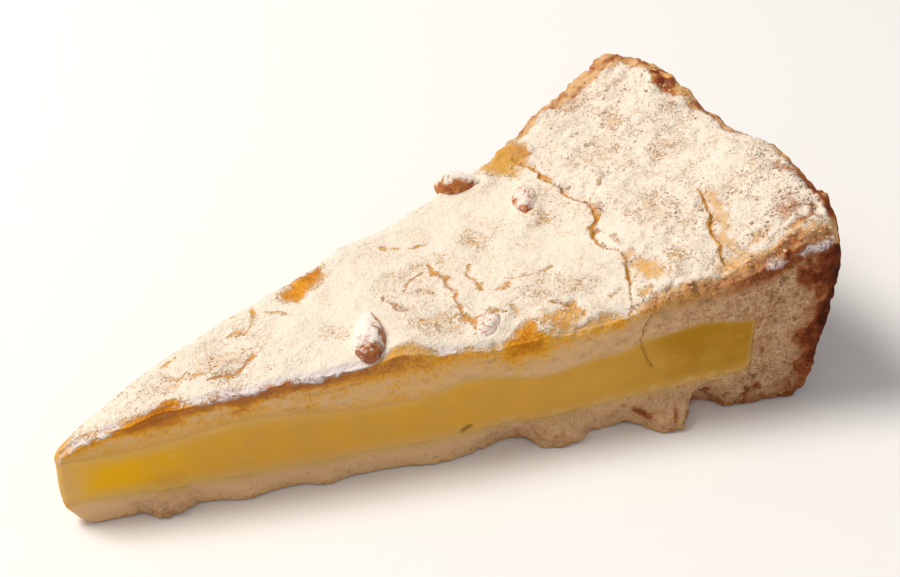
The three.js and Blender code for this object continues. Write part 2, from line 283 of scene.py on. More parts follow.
# %% Bare patches, streaks and specks
BARE_PATCHES = [  # x, y, half length, half width, heading in degrees, bareness, gold, brown
    (4.6, 0, 2.6, 2.2, 90, 0.9, 0.36, 0), (9, -1.2, 2.6, 0.9, -15, 0.62, 0.4, 0),
    (15, -3.3, 5, 0.8, -15, 0.6, 0.6, 0), (21.4, -4.5, 1.9, 1.2, -14, 1, 0.7, 0),
    (24.6, 4.7, 1.8, 0.7, 12, 0.75, 0.5, 0), (23, 1.6, 1.3, 0.8, 0, 0.55, 0.6, 0.2),
    (27, -1.2, 2.2, 0.8, -10, 0.58, 0.6, 0.3), (32, -3, 1.9, 1.1, 0, 0.68, 0.6, 0.4),
    (34.7, -1.6, 1.6, 0.8, -40, 0.6, 0.5, 0.5), (37, 4.5, 2.3, 1.3, 10, 0.5, 0.6, 0.3),
    (29.6, -3, 1.8, 1, 0, 0.5, 0.6, 0.3), (37.6, -6.2, 2, 1.2, -60, 0.46, 0.5, 0.3),
    (41.2, 8.4, 2.1, 0.55, 68, 0.95, 0.65, 0.1), (38.2, 9.3, 1.1, 0.7, 0, 0.6, 0.5, 0.1),
    (43, 6, 1.4, 0.6, -60, 0.55, 0.6, 0.2), (51.6, 11, 5.4, 2.7, 22, 1, 0.66, 0),
    (55, 12.6, 2.6, 1.6, 40, 1, 0.9, 0.1), (49, 9.2, 2.4, 1.8, 10, 1, 0.75, 0),
    (57.6, -15.4, 2.6, 1.1, -14.7, 1, 0.4, 0), (68.2, 12.9, 1.1, 0.6, 20, 0.8, 0.6, 0.1),
    (70.2, 11.4, 1.3, 0.6, -30, 0.8, 0.6, 0.2), (73.2, 10, 1.2, 0.6, -20, 0.75, 0.6, 0.2),
    (60.4, -0.7, 1, 0.6, 30, 0.75, 0.5, 0.5), (62.2, -3.4, 0.8, 1.5, 0, 0.68, 0.6, 0.5),
    (65, -0.2, 1.4, 0.7, 10, 0.62, 0.5, 0.6), (67.6, -2.2, 2.4, 0.8, -15, 0.6, 0.6, 0.4),
    (79, -8.6, 1.7, 1.2, -50, 0.68, 0.7, 0.1), (74, -12.6, 1.2, 2.6, 10, 0.55, 0.6, 0.3),
    (78, -13.6, 1.3, 2.2, 0, 0.55, 0.6, 0.2), (84, -8, 1.8, 1, 0, 0.5, 0.6, 0.2),
    (70, -15.2, 1, 0.6, 0, 0.68, 0.5, 0.5), (77.2, -18.8, 2.4, 2.3, 0, 1, 1.0, 0.1),
    (83.4, -19.2, 4.4, 2.4, -18, 0.74, 0.5, 0), (86, -17.6, 1.4, 1.2, 60, 0.8, 0.7, 0.35),
    (88.8, -23, 2.8, 1, -15, 0.9, 0.5, 0.35), (94, -19.4, 1.4, 0.8, 0, 0.6, 0.5, 0.2),
    (98.6, 23, 5.8, 4.8, 60, 1, 0.62, 0), (101.6, 21.6, 1.8, 2.6, 0, 1, 1.0, 0.5),
    (97, 19, 2, 2.4, 60, 0.8, 0.5, 0), (101, 14.6, 3.8, 0.8, -80, 0.85, 0.6, 0.3),
    (95.4, 26, 1.6, 0.8, 14, 0.8, 0.5, 0.2), (107, 5, 2.2, 0.7, 38, 0.6, 0.5, 0.5),
    (103, -1, 1, 1.8, 0, 0.72, 0.5, 0.6), (99.6, -5, 1.1, 1, 0, 0.95, 0.5, 0.6),
    (100, -10, 1, 2.2, 0, 0.62, 0.5, 0.5), (100.6, -14, 1.4, 1.2, 0, 0.7, 0.5, 0.4),
    (100.4, -18.4, 3.6, 3, -60, 0.74, 0.34, 0.05), (97.6, -22.6, 2, 1.4, -40, 0.68, 0.35, 0.05),
    (102.6, -21.6, 1.4, 1.2, 0, 0.6, 0.5, 0), (117, -11.6, 1.2, 0.9, 0, 0.6, 0.4, 0.4),
    (115.6, -17.6, 2.8, 1.8, -70, 0.74, 0.3, 0.1), (113.2, -22.4, 2.6, 1.6, -70, 0.74, 0.3, 0.1),
    (111.6, -26.6, 3.6, 2, -12, 0.74, 0.32, 0), (118, -25.6, 2.6, 1, -10, 0.6, 0.45, 0.2),
    (122, -23.6, 1.8, 2.4, -10, 0.5, 0.3, 0.6), (124.4, -25, 2.6, 2.2, 80, 0.6, 0.3, 0.2),
    (123.6, -28.4, 2.4, 1, -14, 0.9, 0.5, 0.2), (130.4, -19, 5.4, 1.1, -72, 0.8, 0.5, 0.6),
    (131.4, 0, 6, 0.7, 90, 0.75, 0.5, 0.4),
]
STREAKS = [  # points x, y along it, half width, bareness, gold, brown
    ([(71.4, 4), (72.2, 0), (71.6, -3), (71, -8), (70.2, -14)], 0.58, 0.82, 0.65, 0.35),
    ([(77.4, 0.4), (76, -3), (75.4, -6.4)], 0.54, 0.72, 0.65, 0.2),
    ([(65.6, 0.2), (68.6, 2), (71, 2.6)], 0.5, 0.68, 0.6, 0.4),
    ([(62, -4.6), (60.2, -1)], 0.5, 0.72, 0.6, 0.5), ([(43.4, 5.8), (46.4, 3.6)], 0.43, 0.6, 0.6, 0.3),
    ([(118, -11.4), (116.6, -16.4), (114.8, -20.4)], 1.3, 0.68, 0.26, 0.12),
    ([(113.6, -21), (113.2, -25.4), (115.6, -28.6)], 1.3, 0.66, 0.26, 0.14),
    ([(28, -3.4), (33, -3), (36.6, -1.4)], 0.43, 0.82, 0.62, 0.35),
    ([(24, 0.6), (28.4, -1.4), (31, -0.6)], 0.29, 0.72, 0.6, 0.25),
    ([(35, 4.8), (38, 4.4), (40.4, 6)], 0.36, 0.72, 0.6, 0.25),
    ([(69.4, -10), (73, -12.6), (76.4, -13)], 0.36, 0.72, 0.6, 0.3),
    ([(80, -6.6), (84.2, -8.8), (88, -8.4)], 0.36, 0.7, 0.6, 0.25),
]
SPECKS = [  # x, y, half length, half width, heading, bareness
    (32, 0, 11, 4, 0, 0.46), (50, -4, 5, 4, -20, 0.38), (66, -10, 9, 5, -10, 0.48), (70, 4, 12, 4, 10, 0.4),
    (82, 6, 5, 5, 30, 0.48), (84, -12, 8, 5, -10, 0.42), (95, 4, 5, 4, 0, 0.48), (110, -8, 9, 10, 0, 0.46),
    (112, 12, 9, 9, 0, 0.48), (118, 17, 4, 4, 0, 0.53), (120, 4, 6, 8, 90, 0.46),
    (124.4, -24.6, 5.5, 4.5, -20, 0.62), (106, -20, 5, 4, 0, 0.48), (90, -15, 6, 4, 0, 0.44),
    (22, 0, 6, 3, 0, 0.44), (116, 26, 8, 4, 20, 0.54), (97.5, 1.8, 0.6, 0.5, 0, 0.75),
]


def patch_distance(x, y, px, py, half_length, half_width, heading):
    """0 in the middle of a patch and 1 at its edge."""
    c, s = math.cos(math.radians(heading)), math.sin(math.radians(heading))
    along = (x - px) * c + (y - py) * s
    across = (y - py) * c - (x - px) * s
    return np.hypot(along / half_length, across / half_width)


print(len(BARE_PATCHES), "bare patches,", len(STREAKS), "streaks,", len(SPECKS), "zones of specks")

# %% [markdown]
# ## Bare crust along the edges
# Along the far edge and the rim a band a few millimetres wide lost its sugar, and its crust is lumpy,
# tan on the lumps and brown between them, where the brown is painted shade in the creases. One stretch of
# the rim is nearly rust red. The near corner of the rim crumbled. Two curves give the width of the band,
# which is easier to fit than many patches.

# %% Bare bands and the crumbled corner
far_band = curve_through(  # radius, and how far the band reaches in from the far cut
    (98, -2), (104, -0.6), (108, 2.2), (111, 2), (113.5, 0.8), (116, 3.2), (122, 4.8), (128, 5), (133, 5)
)
rim_band = curve_through(  # angle in degrees, and how far the band reaches in from the rim
    (-15, 1.2), (-11, 0.6), (-4, 0.4), (0, 0.8), (4, 1.6), (6, 3.4), (8, 4.6), (9.5, 2.6), (12, 2.6),
    (15, 3.4),
)
BRIM_RADIUS = 132.6  # from here the band of the rim reaches in
RUST_ANGLE, RUST_WIDTH = 7.6, 2.4  # degrees
CRUMBLED_X, CRUMBLED_Y, CRUMBLED_WIDTH = 127.8, -27.2, 5
BAND_LUMP, CORNER_LUMP = 3.0, 1.8  # size of the chunks of crust


def in_corner(x, y):
    return bump(np.hypot(x - CRUMBLED_X, y - CRUMBLED_Y), CRUMBLED_WIDTH)


def bare_bands(x, y, wx, wy):
    """Bareness, brown (with painted shade in the creases) and rust in the bands. wx, wy are x, y made ragged.
    """
    (r, angle), (wr, wangle) = polar(x, y), polar(wx, wy)
    degrees = np.degrees(angle)
    by_far_cut = fall(-0.7, 0.9, wr * np.sin(HALF_ANGLE - wangle) - far_band(r))
    by_rim = fall(-0.7, 0.9, BRIM_RADIUS - wr - rim_band(degrees))
    rust = by_rim * bump(degrees - RUST_ANGLE, RUST_WIDTH)
    # Brown in the creases between the band's chunks is painted shade; the finer lumps vary it at random.
    lumpy = 0.8 * (1 - chunks(x, y, BAND_LUMP, 17)) - 0.02 + 0.4 * lumps(x, y, 1.1, 40)
    by_rim = by_rim * rise(-0.3, 0.4, rim_band(degrees) - 0.8)
    lumpy = lumpy * mix(1, 0.8, by_far_cut * (1 - by_rim))
    brown = np.clip(lumpy + rust * (0.16 + 0.5 * lumps(x, y, 0.9, 48)), 0, 1)
    return np.maximum(by_far_cut, by_rim), brown, rust


# %% [markdown]
# ## Finish of the top
# Each patch, streak and band says how bare the crust is and how it is coloured. The barest one wins, and
# the colours are averaged by how near each is, so two patches run into each other without a seam.

# %% Sugar, gold and brown over the whole top
def top_finish(x, y):
    """Sugar (1 thick, 0 its edge, -1 none), gold and brown of the crust, over the lid's top."""
    wx = x + 1.5 * lumps(x, y, 2.3, 31) + 0.8 * lumps(x, y, 1, 32)
    wy = y + 1.5 * lumps(x, y, 2.3, 33) + 0.8 * lumps(x, y, 1, 34)
    bare = 0.25 + 0.1 * fall(14, 60, x) + 0.16 * lumps(x, y, 5, 35)
    bare = bare + 0.09 * rise(98, 110, x) - 0.07 * bump(x - 48, 9)
    towards_rim = rise(98, 112, x)
    weight = np.full(np.shape(x), 0.25)
    gold, brown = weight * mix(0.6, 0.3, towards_rim), weight * mix(0.12, 0.24, towards_rim)

    layers = [(patch_distance(wx, wy, *patch[:5]), *patch[5:]) for patch in BARE_PATCHES]
    layers += [(to_line(wx, wy, points) / half_width, *looks) for points, half_width, *looks in STREAKS]
    for away, bareness, its_gold, its_brown in layers:
        bare = np.maximum(bare, bareness * fall(0.1, 1.8, away))
        near = fall(0.8, 2, away)
        weight, gold, brown = weight + near, gold + near * its_gold, brown + near * its_brown

    band, band_brown_and_shade, rust = bare_bands(x, y, wx, wy)
    bare = np.maximum(bare, band * (0.96 + 0.3 * lumps(x, y, 1.4, 38)))
    weight, gold, brown = weight + 3 * band, gold + 0.3 * band + 0.9 * rust, brown + 3 * band * band_brown_and_shade
    corner = in_corner(x, y)
    crease = 1 - chunks(x, y, CORNER_LUMP, 19)
    bare = np.maximum(bare, corner * (0.22 + 0.8 * crease))
    # Brown in the creases of the crumbled corner is painted shade.
    weight, gold, brown = weight + 3 * corner, gold + 0.3 * corner, brown + 3 * corner * (0.3 + 0.9 * crease)
    for *place, bareness in SPECKS:
        bare = np.maximum(bare, bareness * fall(0.2, 1.3, patch_distance(wx, wy, *place)))
    return 1 - 2 * bare, gold / weight, brown / weight


sampled = [round(float(top_finish(x, y)[0]), 2) for x, y in ((50, 0), (130, 20))]
print("sugar in the middle and at the rim:", sampled)

# %% [markdown]
# ## Lumps of the lid
# Four pine nuts lie in the dough, which rose a little against all but the front one. On the broad form
# lie lumps of 1 to 4 mm. In the bands, at the corner and by the cuts they are chunks with creases between
# them.

# %% Pine nuts: where they lie
NUTS = {  # x, y, heading, tilt, length, thickness, above the dough, bare end, bare side, reach
    "pine_nut_front": (54.4, -7.5, 62, -3, 12.2, 5.2, 0.1, -0.66, -1, 0.55),
    "pine_nut_edge": (88.2, 21.3, -30, 0, 9.2, 5.0, 0.1, 2, -1, 0),
    "pine_nut_back": (94.6, 9.4, -122, 8, 9.8, 4.7, -0.3, 0.3, -0.5, -0.1),
    "pine_nut_buried": (72.6, -14.0, -150, 0, 7.5, 4.6, -0.6, -0.5, 0, 0.15),
}


def bank(x, y):
    """How far the dough has risen against the nuts, all but the front one, in mm."""
    height = 0
    for nx, ny, heading, _, length, thickness, *_ in list(NUTS.values())[1:]:
        half = length / 2 - 1.5
        cx, cy = half * math.cos(math.radians(heading)), half * math.sin(math.radians(heading))
        away = to_line(x, y, [(nx - cx, ny - cy), (nx + cx, ny + cy)])
        height = height + 0.7 * bump(np.maximum(away - 0.3 * thickness, 0), 1.3)
    return height


# %% [markdown]
# ## Height of the lid
# Sugar adds a tenth of a millimetre, the nuts push the dough up and the cracks cut into it. All of it is
# one height for each place, so the top can't fold over itself.

# %% Height of the lid with all its lumps
SUGAR_THICKNESS = 0.12  # where it lies whole


def band_relief(x, y, inside):
    """Chunks of bare crust in the bands. inside is 0 at the outline, which stays as the solid has it."""
    relief = 1.1 * (chunks(x, y, BAND_LUMP, 17) - 0.5) + 0.5 * (chunks(x, y, 1.5, 18) - 0.5)
    return inside * bare_bands(x, y, x, y)[0] * relief


def lid_top(r, angle):
    x, y = on_flat(r, angle)
    rough = 0.6 + 0.75 * rise(97, 106, r)
    fine = 0.55 * lumps(x, y, 3.4, 11) + 0.4 * lumps(x, y, 1.9, 12) + 0.34 * lumps(x, y, 1.1, 13)
    crumbly = rise(112, 128, r) * 0.5 * (chunks(x, y, 2.2, 14) - 0.5)
    to_cut = to_nearer_cut(r, angle)
    by_cut = bump(to_cut - 0.8, 2.2) * rise(94, 102, r) * fall(127, 132, r)
    crumbly = crumbly + by_cut * (0.8 * (chunks(x, y, 2.6, 15) - 0.55) + 0.7 * lumps(x, y, 1.3, 16))
    crumbly = crumbly + 1.1 * in_corner(x, y) * (chunks(x, y, CORNER_LUMP, 19) - 0.5)
    inside = rise(0.3, 2.6, to_cut) * fall(128.6, 131.4, r)
    crumbly = crumbly + band_relief(x, y, inside)
    sugar = SUGAR_THICKNESS * rise(-1, 0.8, top_finish(x, y)[0])
    return lid_form(r, angle) + rough * fine + crumbly + sugar + bank(x, y) - CRACK_DEPTH * crack_depth(x, y)


# %% [markdown]
# ## The cuts
# A knife leaves the custard smooth, smears the base, and tears the lid and the wall into open crumb with
# small pits. At the foot, lumps of crust broke away and others stand out. The relief is a function of
# radius and height alone, so it runs on from the case into the lid without a seam, as on the real slice,
# where they baked into one.

# %% Relief of a cut
NEAR_CRUMBS = [  # radius, reach, width, squareness
    (19.6, 1.8, 3.4, 4), (32, 1.1, 3.5, 2), (45, 1.2, 2.5, 2), (64, 0.9, 5, 2), (76, -1.9, 4.5, 2),
    (85, 2.4, 4.5, 5), (95, -0.6, 4, 2), (104, 3.7, 4, 4), (111.4, -3.2, 3, 3),
]
FAR_CRUMBS = [  # the same on the far cut
    (26, 1.3, 4, 2), (41, -0.9, 4, 2), (58, 1.6, 4.5, 3), (73, 0.8, 3, 2), (90, -1.6, 5, 2),
    (107, 2.4, 4.5, 4),
]
openness_along = curve_through(
    (3, 0.15), (36, 0.3), (44, 0.6), (52, 0.35), (62, 0.45), (78, 0.5), (98, 0.6), (116, 0.9), (120, 1)
)
brokenness = curve_through(
    (12, 0.2), (15, 1), (23, 1), (26, 0.25), (60, 0.3), (72, 0.8), (79, 1), (87, 0.8), (91, 0.35), (95, 0.8),
    (99, 1), (131, 1),
)
CORNER = 1.8  # radius of the corner at the foot of the wall


def case_floor(r):
    """Top of the base, with the rounded corner at the foot of the wall."""
    t = np.clip((r - FILLING_END + CORNER) / CORNER, 0, 1)
    return base_height(r) + CORNER * (1 - np.sqrt(1 - t**2))


def from_custard(r, z):
    """How far a place on the cut is outside the custard, roughly."""
    return np.maximum(np.maximum(case_floor(r) - z, z - filling_height(r)), r - FILLING_END)


def openness(r, z):
    """How open the crumb is: 0 where the knife smeared it, 1 in the wall and at the foot."""
    in_base = fall(0, 2, z - base_height(r))
    smeared = 0.8 * in_base * fall(112, 120, r) * (1 - 0.7 * rise(66, 78, r))
    along = openness_along(r) * (1 - smeared)
    return np.maximum(along, 0.6 * fall(1.5, 4.5, z) * (brokenness(r) - 0.2))


def side_relief(r, z, side, crumbs):
    at_foot = fall(1.5, 6.5, z)
    reach = sum(out * np.exp(-np.abs((r - at) / width) ** square) for at, out, width, square in crumbs)
    calm = rise(0, 1.4, from_custard(r, z))
    crumb = 0.7 * (chunks(r, z * 1.1, 2.1, 61 + side) - 0.55) + 0.42 * (chunks(r, z, 1.0, 64 + side) - 0.5)
    pits = -0.5 * rise(0.25, 0.36, lumps(r, z, 1.5, 67 + side))
    broken = fall(2.5, 6, z) * brokenness(r) * 0.9 * (chunks(r, z, 1.7, 70 + side) - 0.5)
    broad = 0.25 * noise(r / 4, z / 3, 50 + side)
    return at_foot * reach + broad + calm * openness(r, z) * (crumb + pits) + broken


def cut_relief(r, z, side):
    """How far the crumb of a cut stands out of its plane. side is -1 on the near cut and 1 on the far one."""
    return np.where(side < 0, side_relief(r, z, -1, NEAR_CRUMBS), side_relief(r, z, 1, FAR_CRUMBS))


# %% [markdown]
# ## One shell for every layer
# A layer is a grid of points u (tip to rim), v (across) and w (upwards), of which only the outermost are
# kept. The six sides share the points along their edges, so the shell is closed. A side that nothing
# shows, where two layers touch, is left with wide faces from cut to cut, and the cells are spent on the
# sides that show.

# %% Shell of a grid
def grid_shell(shape, hidden_side=None):
    """Indices u, v, w of the points on the outside of a grid, and its faces.

    hidden_side is the level that nothing shows: 0 the bottom, -1 the top.
    """
    index = np.indices(shape)
    ends = [(a == 0) | (a == n - 1) for a, n in zip(index, shape)]
    outer = ends[0] | ends[1] | ends[2]
    if hidden_side is not None:
        last = shape[2] - 1 if hidden_side == -1 else 0
        outer &= ~((index[2] == last) & ~ends[0] & ~ends[1])
    number = np.full(shape, -1)
    number[outer] = np.arange(outer.sum())

    def quads(grid):
        return np.stack([grid[:-1, :-1], grid[1:, :-1], grid[1:, 1:], grid[:-1, 1:]], -1).reshape(-1, 4)

    sides = [quads(number[:, 0]), quads(number[-1])]
    sides += [quads(number[:, -1])[:, ::-1], quads(number[0])[:, ::-1]]
    faces = []
    for side, flip in ((-1, False), (0, True)):
        level = number[:, :, side]
        if side != hidden_side:
            sides.append(quads(level)[:, ::-1] if flip else quads(level))
            continue
        between = zip(level[1:-2], level[2:-1])
        wide = [[line[0], following[0], following[-1], line[-1]] for line, following in between]
        wide.append([level[1, 0], level[1, -1], *level[0, ::-1]])
        wide.append([level[-2, 0], *level[-1], level[-2, -1]])
        faces += [face[::-1] for face in wide] if flip else wide
    return [a[outer] for a in index], np.concatenate(sides).tolist() + faces


# %% [markdown]
# ## From points to a piece
# The numbers that say where sugar, gold and brown lie go with the points as named attributes. Painted
# colours could do that too, but a number leaves the colour to the material.

# %% A mesh from points and faces
MARGIN = 0.02  # how far every piece stays inside the frame's box, mm


def make_piece(name, points, faces, finish, sharp_angle=50):
    """A mesh object from points in mm, with its finish as named numbers on the points."""
    low, high = np.array(cad_low) * 1000 + MARGIN, np.array(cad_high) * 1000 - MARGIN
    mesh = bpy.data.meshes.new(name)
    mesh.from_pydata(np.clip(points, low, high) / 1000, [], faces)
    for attribute, values in finish.items():
        layer = mesh.attributes.new(attribute, "FLOAT", "POINT")
        layer.data.foreach_set("value", np.broadcast_to(values, len(points)).astype(np.float32))
    mesh.polygons.foreach_set("use_smooth", np.ones(len(mesh.polygons), bool))
    mesh.set_sharp_from_angle(angle=math.radians(sharp_angle))
    mesh.update()
    piece = bpy.data.objects.new(name, mesh)
    bpy.context.scene.collection.objects.link(piece)
    triangles = sum(len(face) - 2 for face in faces)
    print(f"{name}: {len(points)} points, {triangles} triangles")
    return piece


# %% [markdown]
# ## Where the points go
# Points lie closest together where the eye looks for detail: towards the cuts, and where the lid cracked.
# The last step turns radius, angle and height into the x, y and z of the frame.

# %% Spacing of the points, and their place in the frame
def spaced(*stops):
    """Radii from stop to stop: (radius, spacing from there on)."""
    runs = []
    for (start, spacing), (end, _) in zip(stops, stops[1:]):
        runs.append(np.linspace(start, end, round((end - start) / spacing), endpoint=False))
    return np.append(np.concatenate(runs), stops[-1][0])


def across_slice(count, crowding=1.25):
    """From -1 to 1 across the slice, with the lines closer together towards the cuts."""
    v = np.linspace(-1, 1, count)
    return np.sign(v) * (1 - (1 - np.abs(v)) ** crowding)


def in_frame(r, angle, z, out):
    """Points in mm in the frame. out moves a point out of the wedge, square to the nearer cut."""
    side = np.sign(angle)
    out = out * rise(0, 0.6, np.abs(angle) / HALF_ANGLE)
    nose = TIP_NOSE * (1 - (angle / HALF_ANGLE) ** 2) * bump(r - TIP_RADIUS, 2)
    x = r * np.cos(angle) - nose - out * math.sin(HALF_ANGLE) + MEETING_X
    y = r * np.sin(angle) + side * out * math.cos(HALF_ANGLE)
    return np.stack([x, y, z], -1)


def wall_radius(z, angle):
    along = angle * RIM_RADIUS
    fine = 0.22 * lumps(along, z, 2.4, 81) + 0.2 * (chunks(along, z, 1.3, 82) - 0.5)
    return wall_profile(z) + 0.9 * noise(along / 7, z / 6, 31) + fine


# %% [markdown]
# ## How the crust browned
# The oven browns the outside of the case and the rim first, and the colour creeps a few millimetres into
# the crumb in mottled spots. Under the sugar, the lid has a thin golden to orange skin that shows at the
# cuts. These are numbers on the points too: gold for the skin, brown for the dark crust and for the
# painted shade in crevices, creases and cracks, soaked where the custard has stained the crumb.

# %% Gold and brown of the crumb
skin_depth = curve_through(
    (3, 1.2), (9, 1.2), (13, 1.4), (16, 2.4), (21, 2.6), (25, 2.0), (29, 1.8), (32, 2.7), (35, 2.2),
    (38, 1.6), (45, 1.7), (50, 1.9), (56, 3.2), (60, 3.7), (64, 2.9), (70, 3.2), (78, 3.7), (84, 3),
    (90, 2.2), (97, 1.5), (105, 2.4), (133, 2.8),
)
skin_gold = curve_through(
    (3, 0.3), (12, 0.4), (15, 0.75), (21, 0.92), (25, 0.64), (29, 0.62), (31, 0.86), (34, 0.9), (37, 0.8),
    (40, 0.95), (46, 0.88), (50, 0.5), (57, 0.4), (61, 0.34), (66, 0.34), (74, 0.36), (78, 0.7), (81, 0.66),
    (84, 0.36), (95, 0.4), (105, 0.35), (133, 0.25),
)
brown_reach = curve_through((0, 9), (3, 8.6), (8, 7.8), (13, 7.2), (18, 7), (22, 8), (27, 10), (34, 11))


# %% [markdown]
# ## Crevices in the crumb
# Where crumb broke away, its hollows were baked through cracks, and their brown is that and painted shade.
# The creases between chunks give most of them. The few large ones at the foot are listed lines,
# pushed about by noise so that they break up.

# %% Brown of the crumb
# How brown each crevice is stands for painted shade in its hollow as well as baked colour.
CREVICES = [  # points (radius, height) along it, half width, how brown
    ([(96.6, 4.4), (98.4, 2.6), (101.4, 0.9)], 1.2, 0.6), ([(104.6, 4.4), (105, 1.4)], 0.8, 0.5),
    ([(79.8, 3.6), (82.4, 2), (85.4, 1)], 1.0, 0.5), ([(106, 6.4), (109.4, 5.6)], 0.6, 0.45),
    ([(18, 3.4), (20, 2), (22.6, 2.6)], 0.8, 0.35), ([(86.6, 3.6), (87.6, 2)], 0.6, 0.4),
]
BROWNED_CHUNKS = [(19.6, 3), (85, 3.6), (104, 3.8)]  # radius, half width


def crevice_brown_and_shade(r, z, mottle, near_wall):
    """Brown, partly painted shade, between the chunks of the wall and of the foot and along the large
    crevices.
    """
    in_wall = fall(0.15, 0.5, chunks(r, z * 1.1, 2.1, 60)) * openness(r, z) * rise(80, 118, r)
    foot = fall(2, 6, z + 2 * mottle) * brokenness(r) * rise(70, 80, r)
    in_foot = mix(0.32, 0.5, near_wall) * foot * fall(0.25, 0.7, chunks(r, z, 1.7, 69))
    brown = 0.3 * rise(0.2, 0.34, lumps(r, z, 1.1, 66)) * openness(r, z)
    brown = brown + np.maximum(0.4 * in_wall, in_foot)
    ragged_r = r + 1.7 * lumps(r, z, 1.4, 98) + 0.8 * lumps(r, z, 0.7, 100)
    ragged_z = z + 1.7 * lumps(r, z, 1.4, 99) + 0.8 * lumps(r, z, 0.7, 101)
    patchy = np.clip(0.62 + 1.5 * lumps(r, z, 1.7, 102), 0.1, 1)
    for points, half_width, how_brown in CREVICES:
        away = to_line(ragged_r, ragged_z, points) / half_width
        brown = np.maximum(brown, how_brown * patchy * fall(0, 1.3, away))
    return brown


def crumb_brown(r, z):
    """Brown of a cut's crumb, from the wall's outside and the bottom, with painted shade in its crevices."""
    mottle = 1.2 * lumps(r, z, 2.6, 91) + 0.9 * lumps(r, z, 1.1, 92)
    from_wall = (wall_profile(z) - r) / brown_reach(z)
    wall = fall(0.05, 1.1, from_wall + 0.42 * mottle) * mix(0.52, 1, rise(2, 12, z))
    near_wall = rise(96, 116, r)
    from_below = z / mix(0.8, 3.0, near_wall)
    foot = mix(0.2, 0.42, near_wall) * fall(0.1, 1.3, from_below + 0.55 * mottle)
    on_chunk = sum(bump(r - at, half_width) for at, half_width in BROWNED_CHUNKS)
    foot = np.maximum(foot, 0.3 * on_chunk * fall(0.6, 3.6, z + 1.8 * mottle))
    return np.clip(np.maximum(np.maximum(wall, foot), crevice_brown_and_shade(r, z, mottle, near_wall)), 0, 1)


# %% [markdown]
# ## The lid
# The lid is the piece the eye goes to, so it gets most of the cells: a third of a millimetre on top,
# closest together where it is cracked.

# %% Edge of the sugar on the lid
bare_edge = curve_through(  # radius, and how far in from the near cut the sugar starts
    (3, 0.3), (9, 0), (12, 0.2), (15, 1.2), (20, 2.1), (23, 1.3), (26, 0.3), (36, 0.1), (39, 0.4), (43, 0.1),
    (46, -0.2), (53, -0.3), (56, 1.3), (59, 2.3), (62, 1.3), (65, 0.6), (72, 0.7), (75, 0.4), (78, 2.4),
    (81, 2.0), (84, 0.7), (88, 0.9), (92, 1.6), (96, 0.9), (99, 1.8), (104, 2.2), (109, 2.2), (112, 1.9),
    (118, 2.4), (124, 2.8), (130, 2.6), (133, 0.8),
)
CAUGHT_SUGAR = [  # radius, height, half length, half height: sugar that lodged under the near edge
    (12.6, 18.0, 1.3, 0.9), (97, 23.4, 1.8, 0.9), (121.8, 28.3, 2.4, 0.9), (128.6, 30.2, 3.4, 1.1),
]
CAUGHT_HEADING = 12  # degrees, along the rising edge
HAIRLINE = [(100, 22), (99, 20), (98.6, 17.5), (99.5, 14.5), (101, 11.5)]  # radius, height on the near cut


def rolled_edge(r, angle, sugar, gold, brown):
    """The top's finish with the bare, golden crest along the near cut and the crust under it."""
    x, y = on_flat(r, angle)
    ragged = 1.0 * lumps(x, y, 1.8, 36) + 0.5 * lumps(x, y, 0.8, 37)
    from_edge = to_near_cut(r, angle) - bare_edge(r) + ragged
    past_middle = rise(95, 101, r)
    sugar = np.minimum(sugar, from_edge / 1.1 + 0.25 * rise(96, 104, r))
    crest = bump(from_edge + 0.5, 0.7) * rise(-0.5, 0.5, bare_edge(r))
    gold, brown = mix(gold, mix(skin_gold(r), 0.42, past_middle), crest), brown * (1 - crest)
    under_edge = fall(-0.4, 0.8, from_edge + 1.2)
    gold = mix(gold, mix(skin_gold(r), 0.08, past_middle), under_edge)
    return sugar, gold, mix(brown, 0.4 * past_middle, under_edge)


def ragged_up(r, z):
    return 0.9 * lumps(r, z, 1.5, 36) + 0.5 * lumps(r, z, 0.7, 37)


def caught_sugar(r, angle, z):
    """1 in the sugar that lodged under the near edge, 0 elsewhere."""
    caught, ragged = 0, ragged_up(r, z)
    for at_radius, at_height, half_length, half_height in CAUGHT_SUGAR:
        place = (at_radius, at_height, half_length, half_height, CAUGHT_HEADING)
        away = patch_distance(r + ragged, z + 0.5 * ragged, *place)
        caught = np.maximum(caught, fall(0.4, 1.3, away))
    return caught * (angle < 0) * (to_nearer_cut(r, angle) < 2.4)


# %% [markdown]
# ## The lid's cuts
# From the top down, a cut of the lid shows the edge of the sugar, a golden skin, pale crumb, and a stain
# where custard soaked in. All of them follow the height of the lid's edge, so they dip where it dips.

# %% Finish of the lid's cuts
def lid_cut_finish(r, angle, z, sugar):
    """Sugar, gold and brown on a cut of the lid: sugar at its top, then golden skin, then crumb."""
    edge_z = lid_form(r, np.sign(angle) * HALF_ANGLE)
    near_drop = 0.35 - 1.5 * np.maximum(bare_edge(r), 0)
    drop = np.where(angle < 0, near_drop, 0.2 + 1.2 * lumps(r, 0 * r, 5, 38))
    sugar = np.minimum(sugar, (z - edge_z + drop + ragged_up(r, z)) / 0.45)
    below = edge_z - z + 0.8 * lumps(r, z, 2.4, 46) + 0.5 * lumps(r, z, 1, 47)
    skin = fall(-0.1, 1.5, below / skin_depth(r) + 0.4 * lumps(r, z, 4.2, 48))
    by_tip = fall(50, 80, r)
    streaks = 0.6 * lumps(r / 5, z, 1.1, 50) + 0.5 * lumps(r / 3, z, 0.6, 51)
    in_middle = 0.1 * fall(94, 112, r)
    gold = 0.06 + in_middle + skin_gold(r) * skin + by_tip * (0.22 + 0.35 * streaks)
    at_brim = rise(95, 101, r) * mix(0.3, 0.62, rise(110, 122, r))
    at_brim = at_brim * fall(0.3, 1.2, below / 4)
    salmon = by_tip * np.clip(0.25 + 0.45 * streaks, 0, 1) * fall(2, 5, below) * rise(10, 20, r)
    return sugar, gold, np.maximum(np.maximum(crumb_brown(r, z), at_brim), salmon)


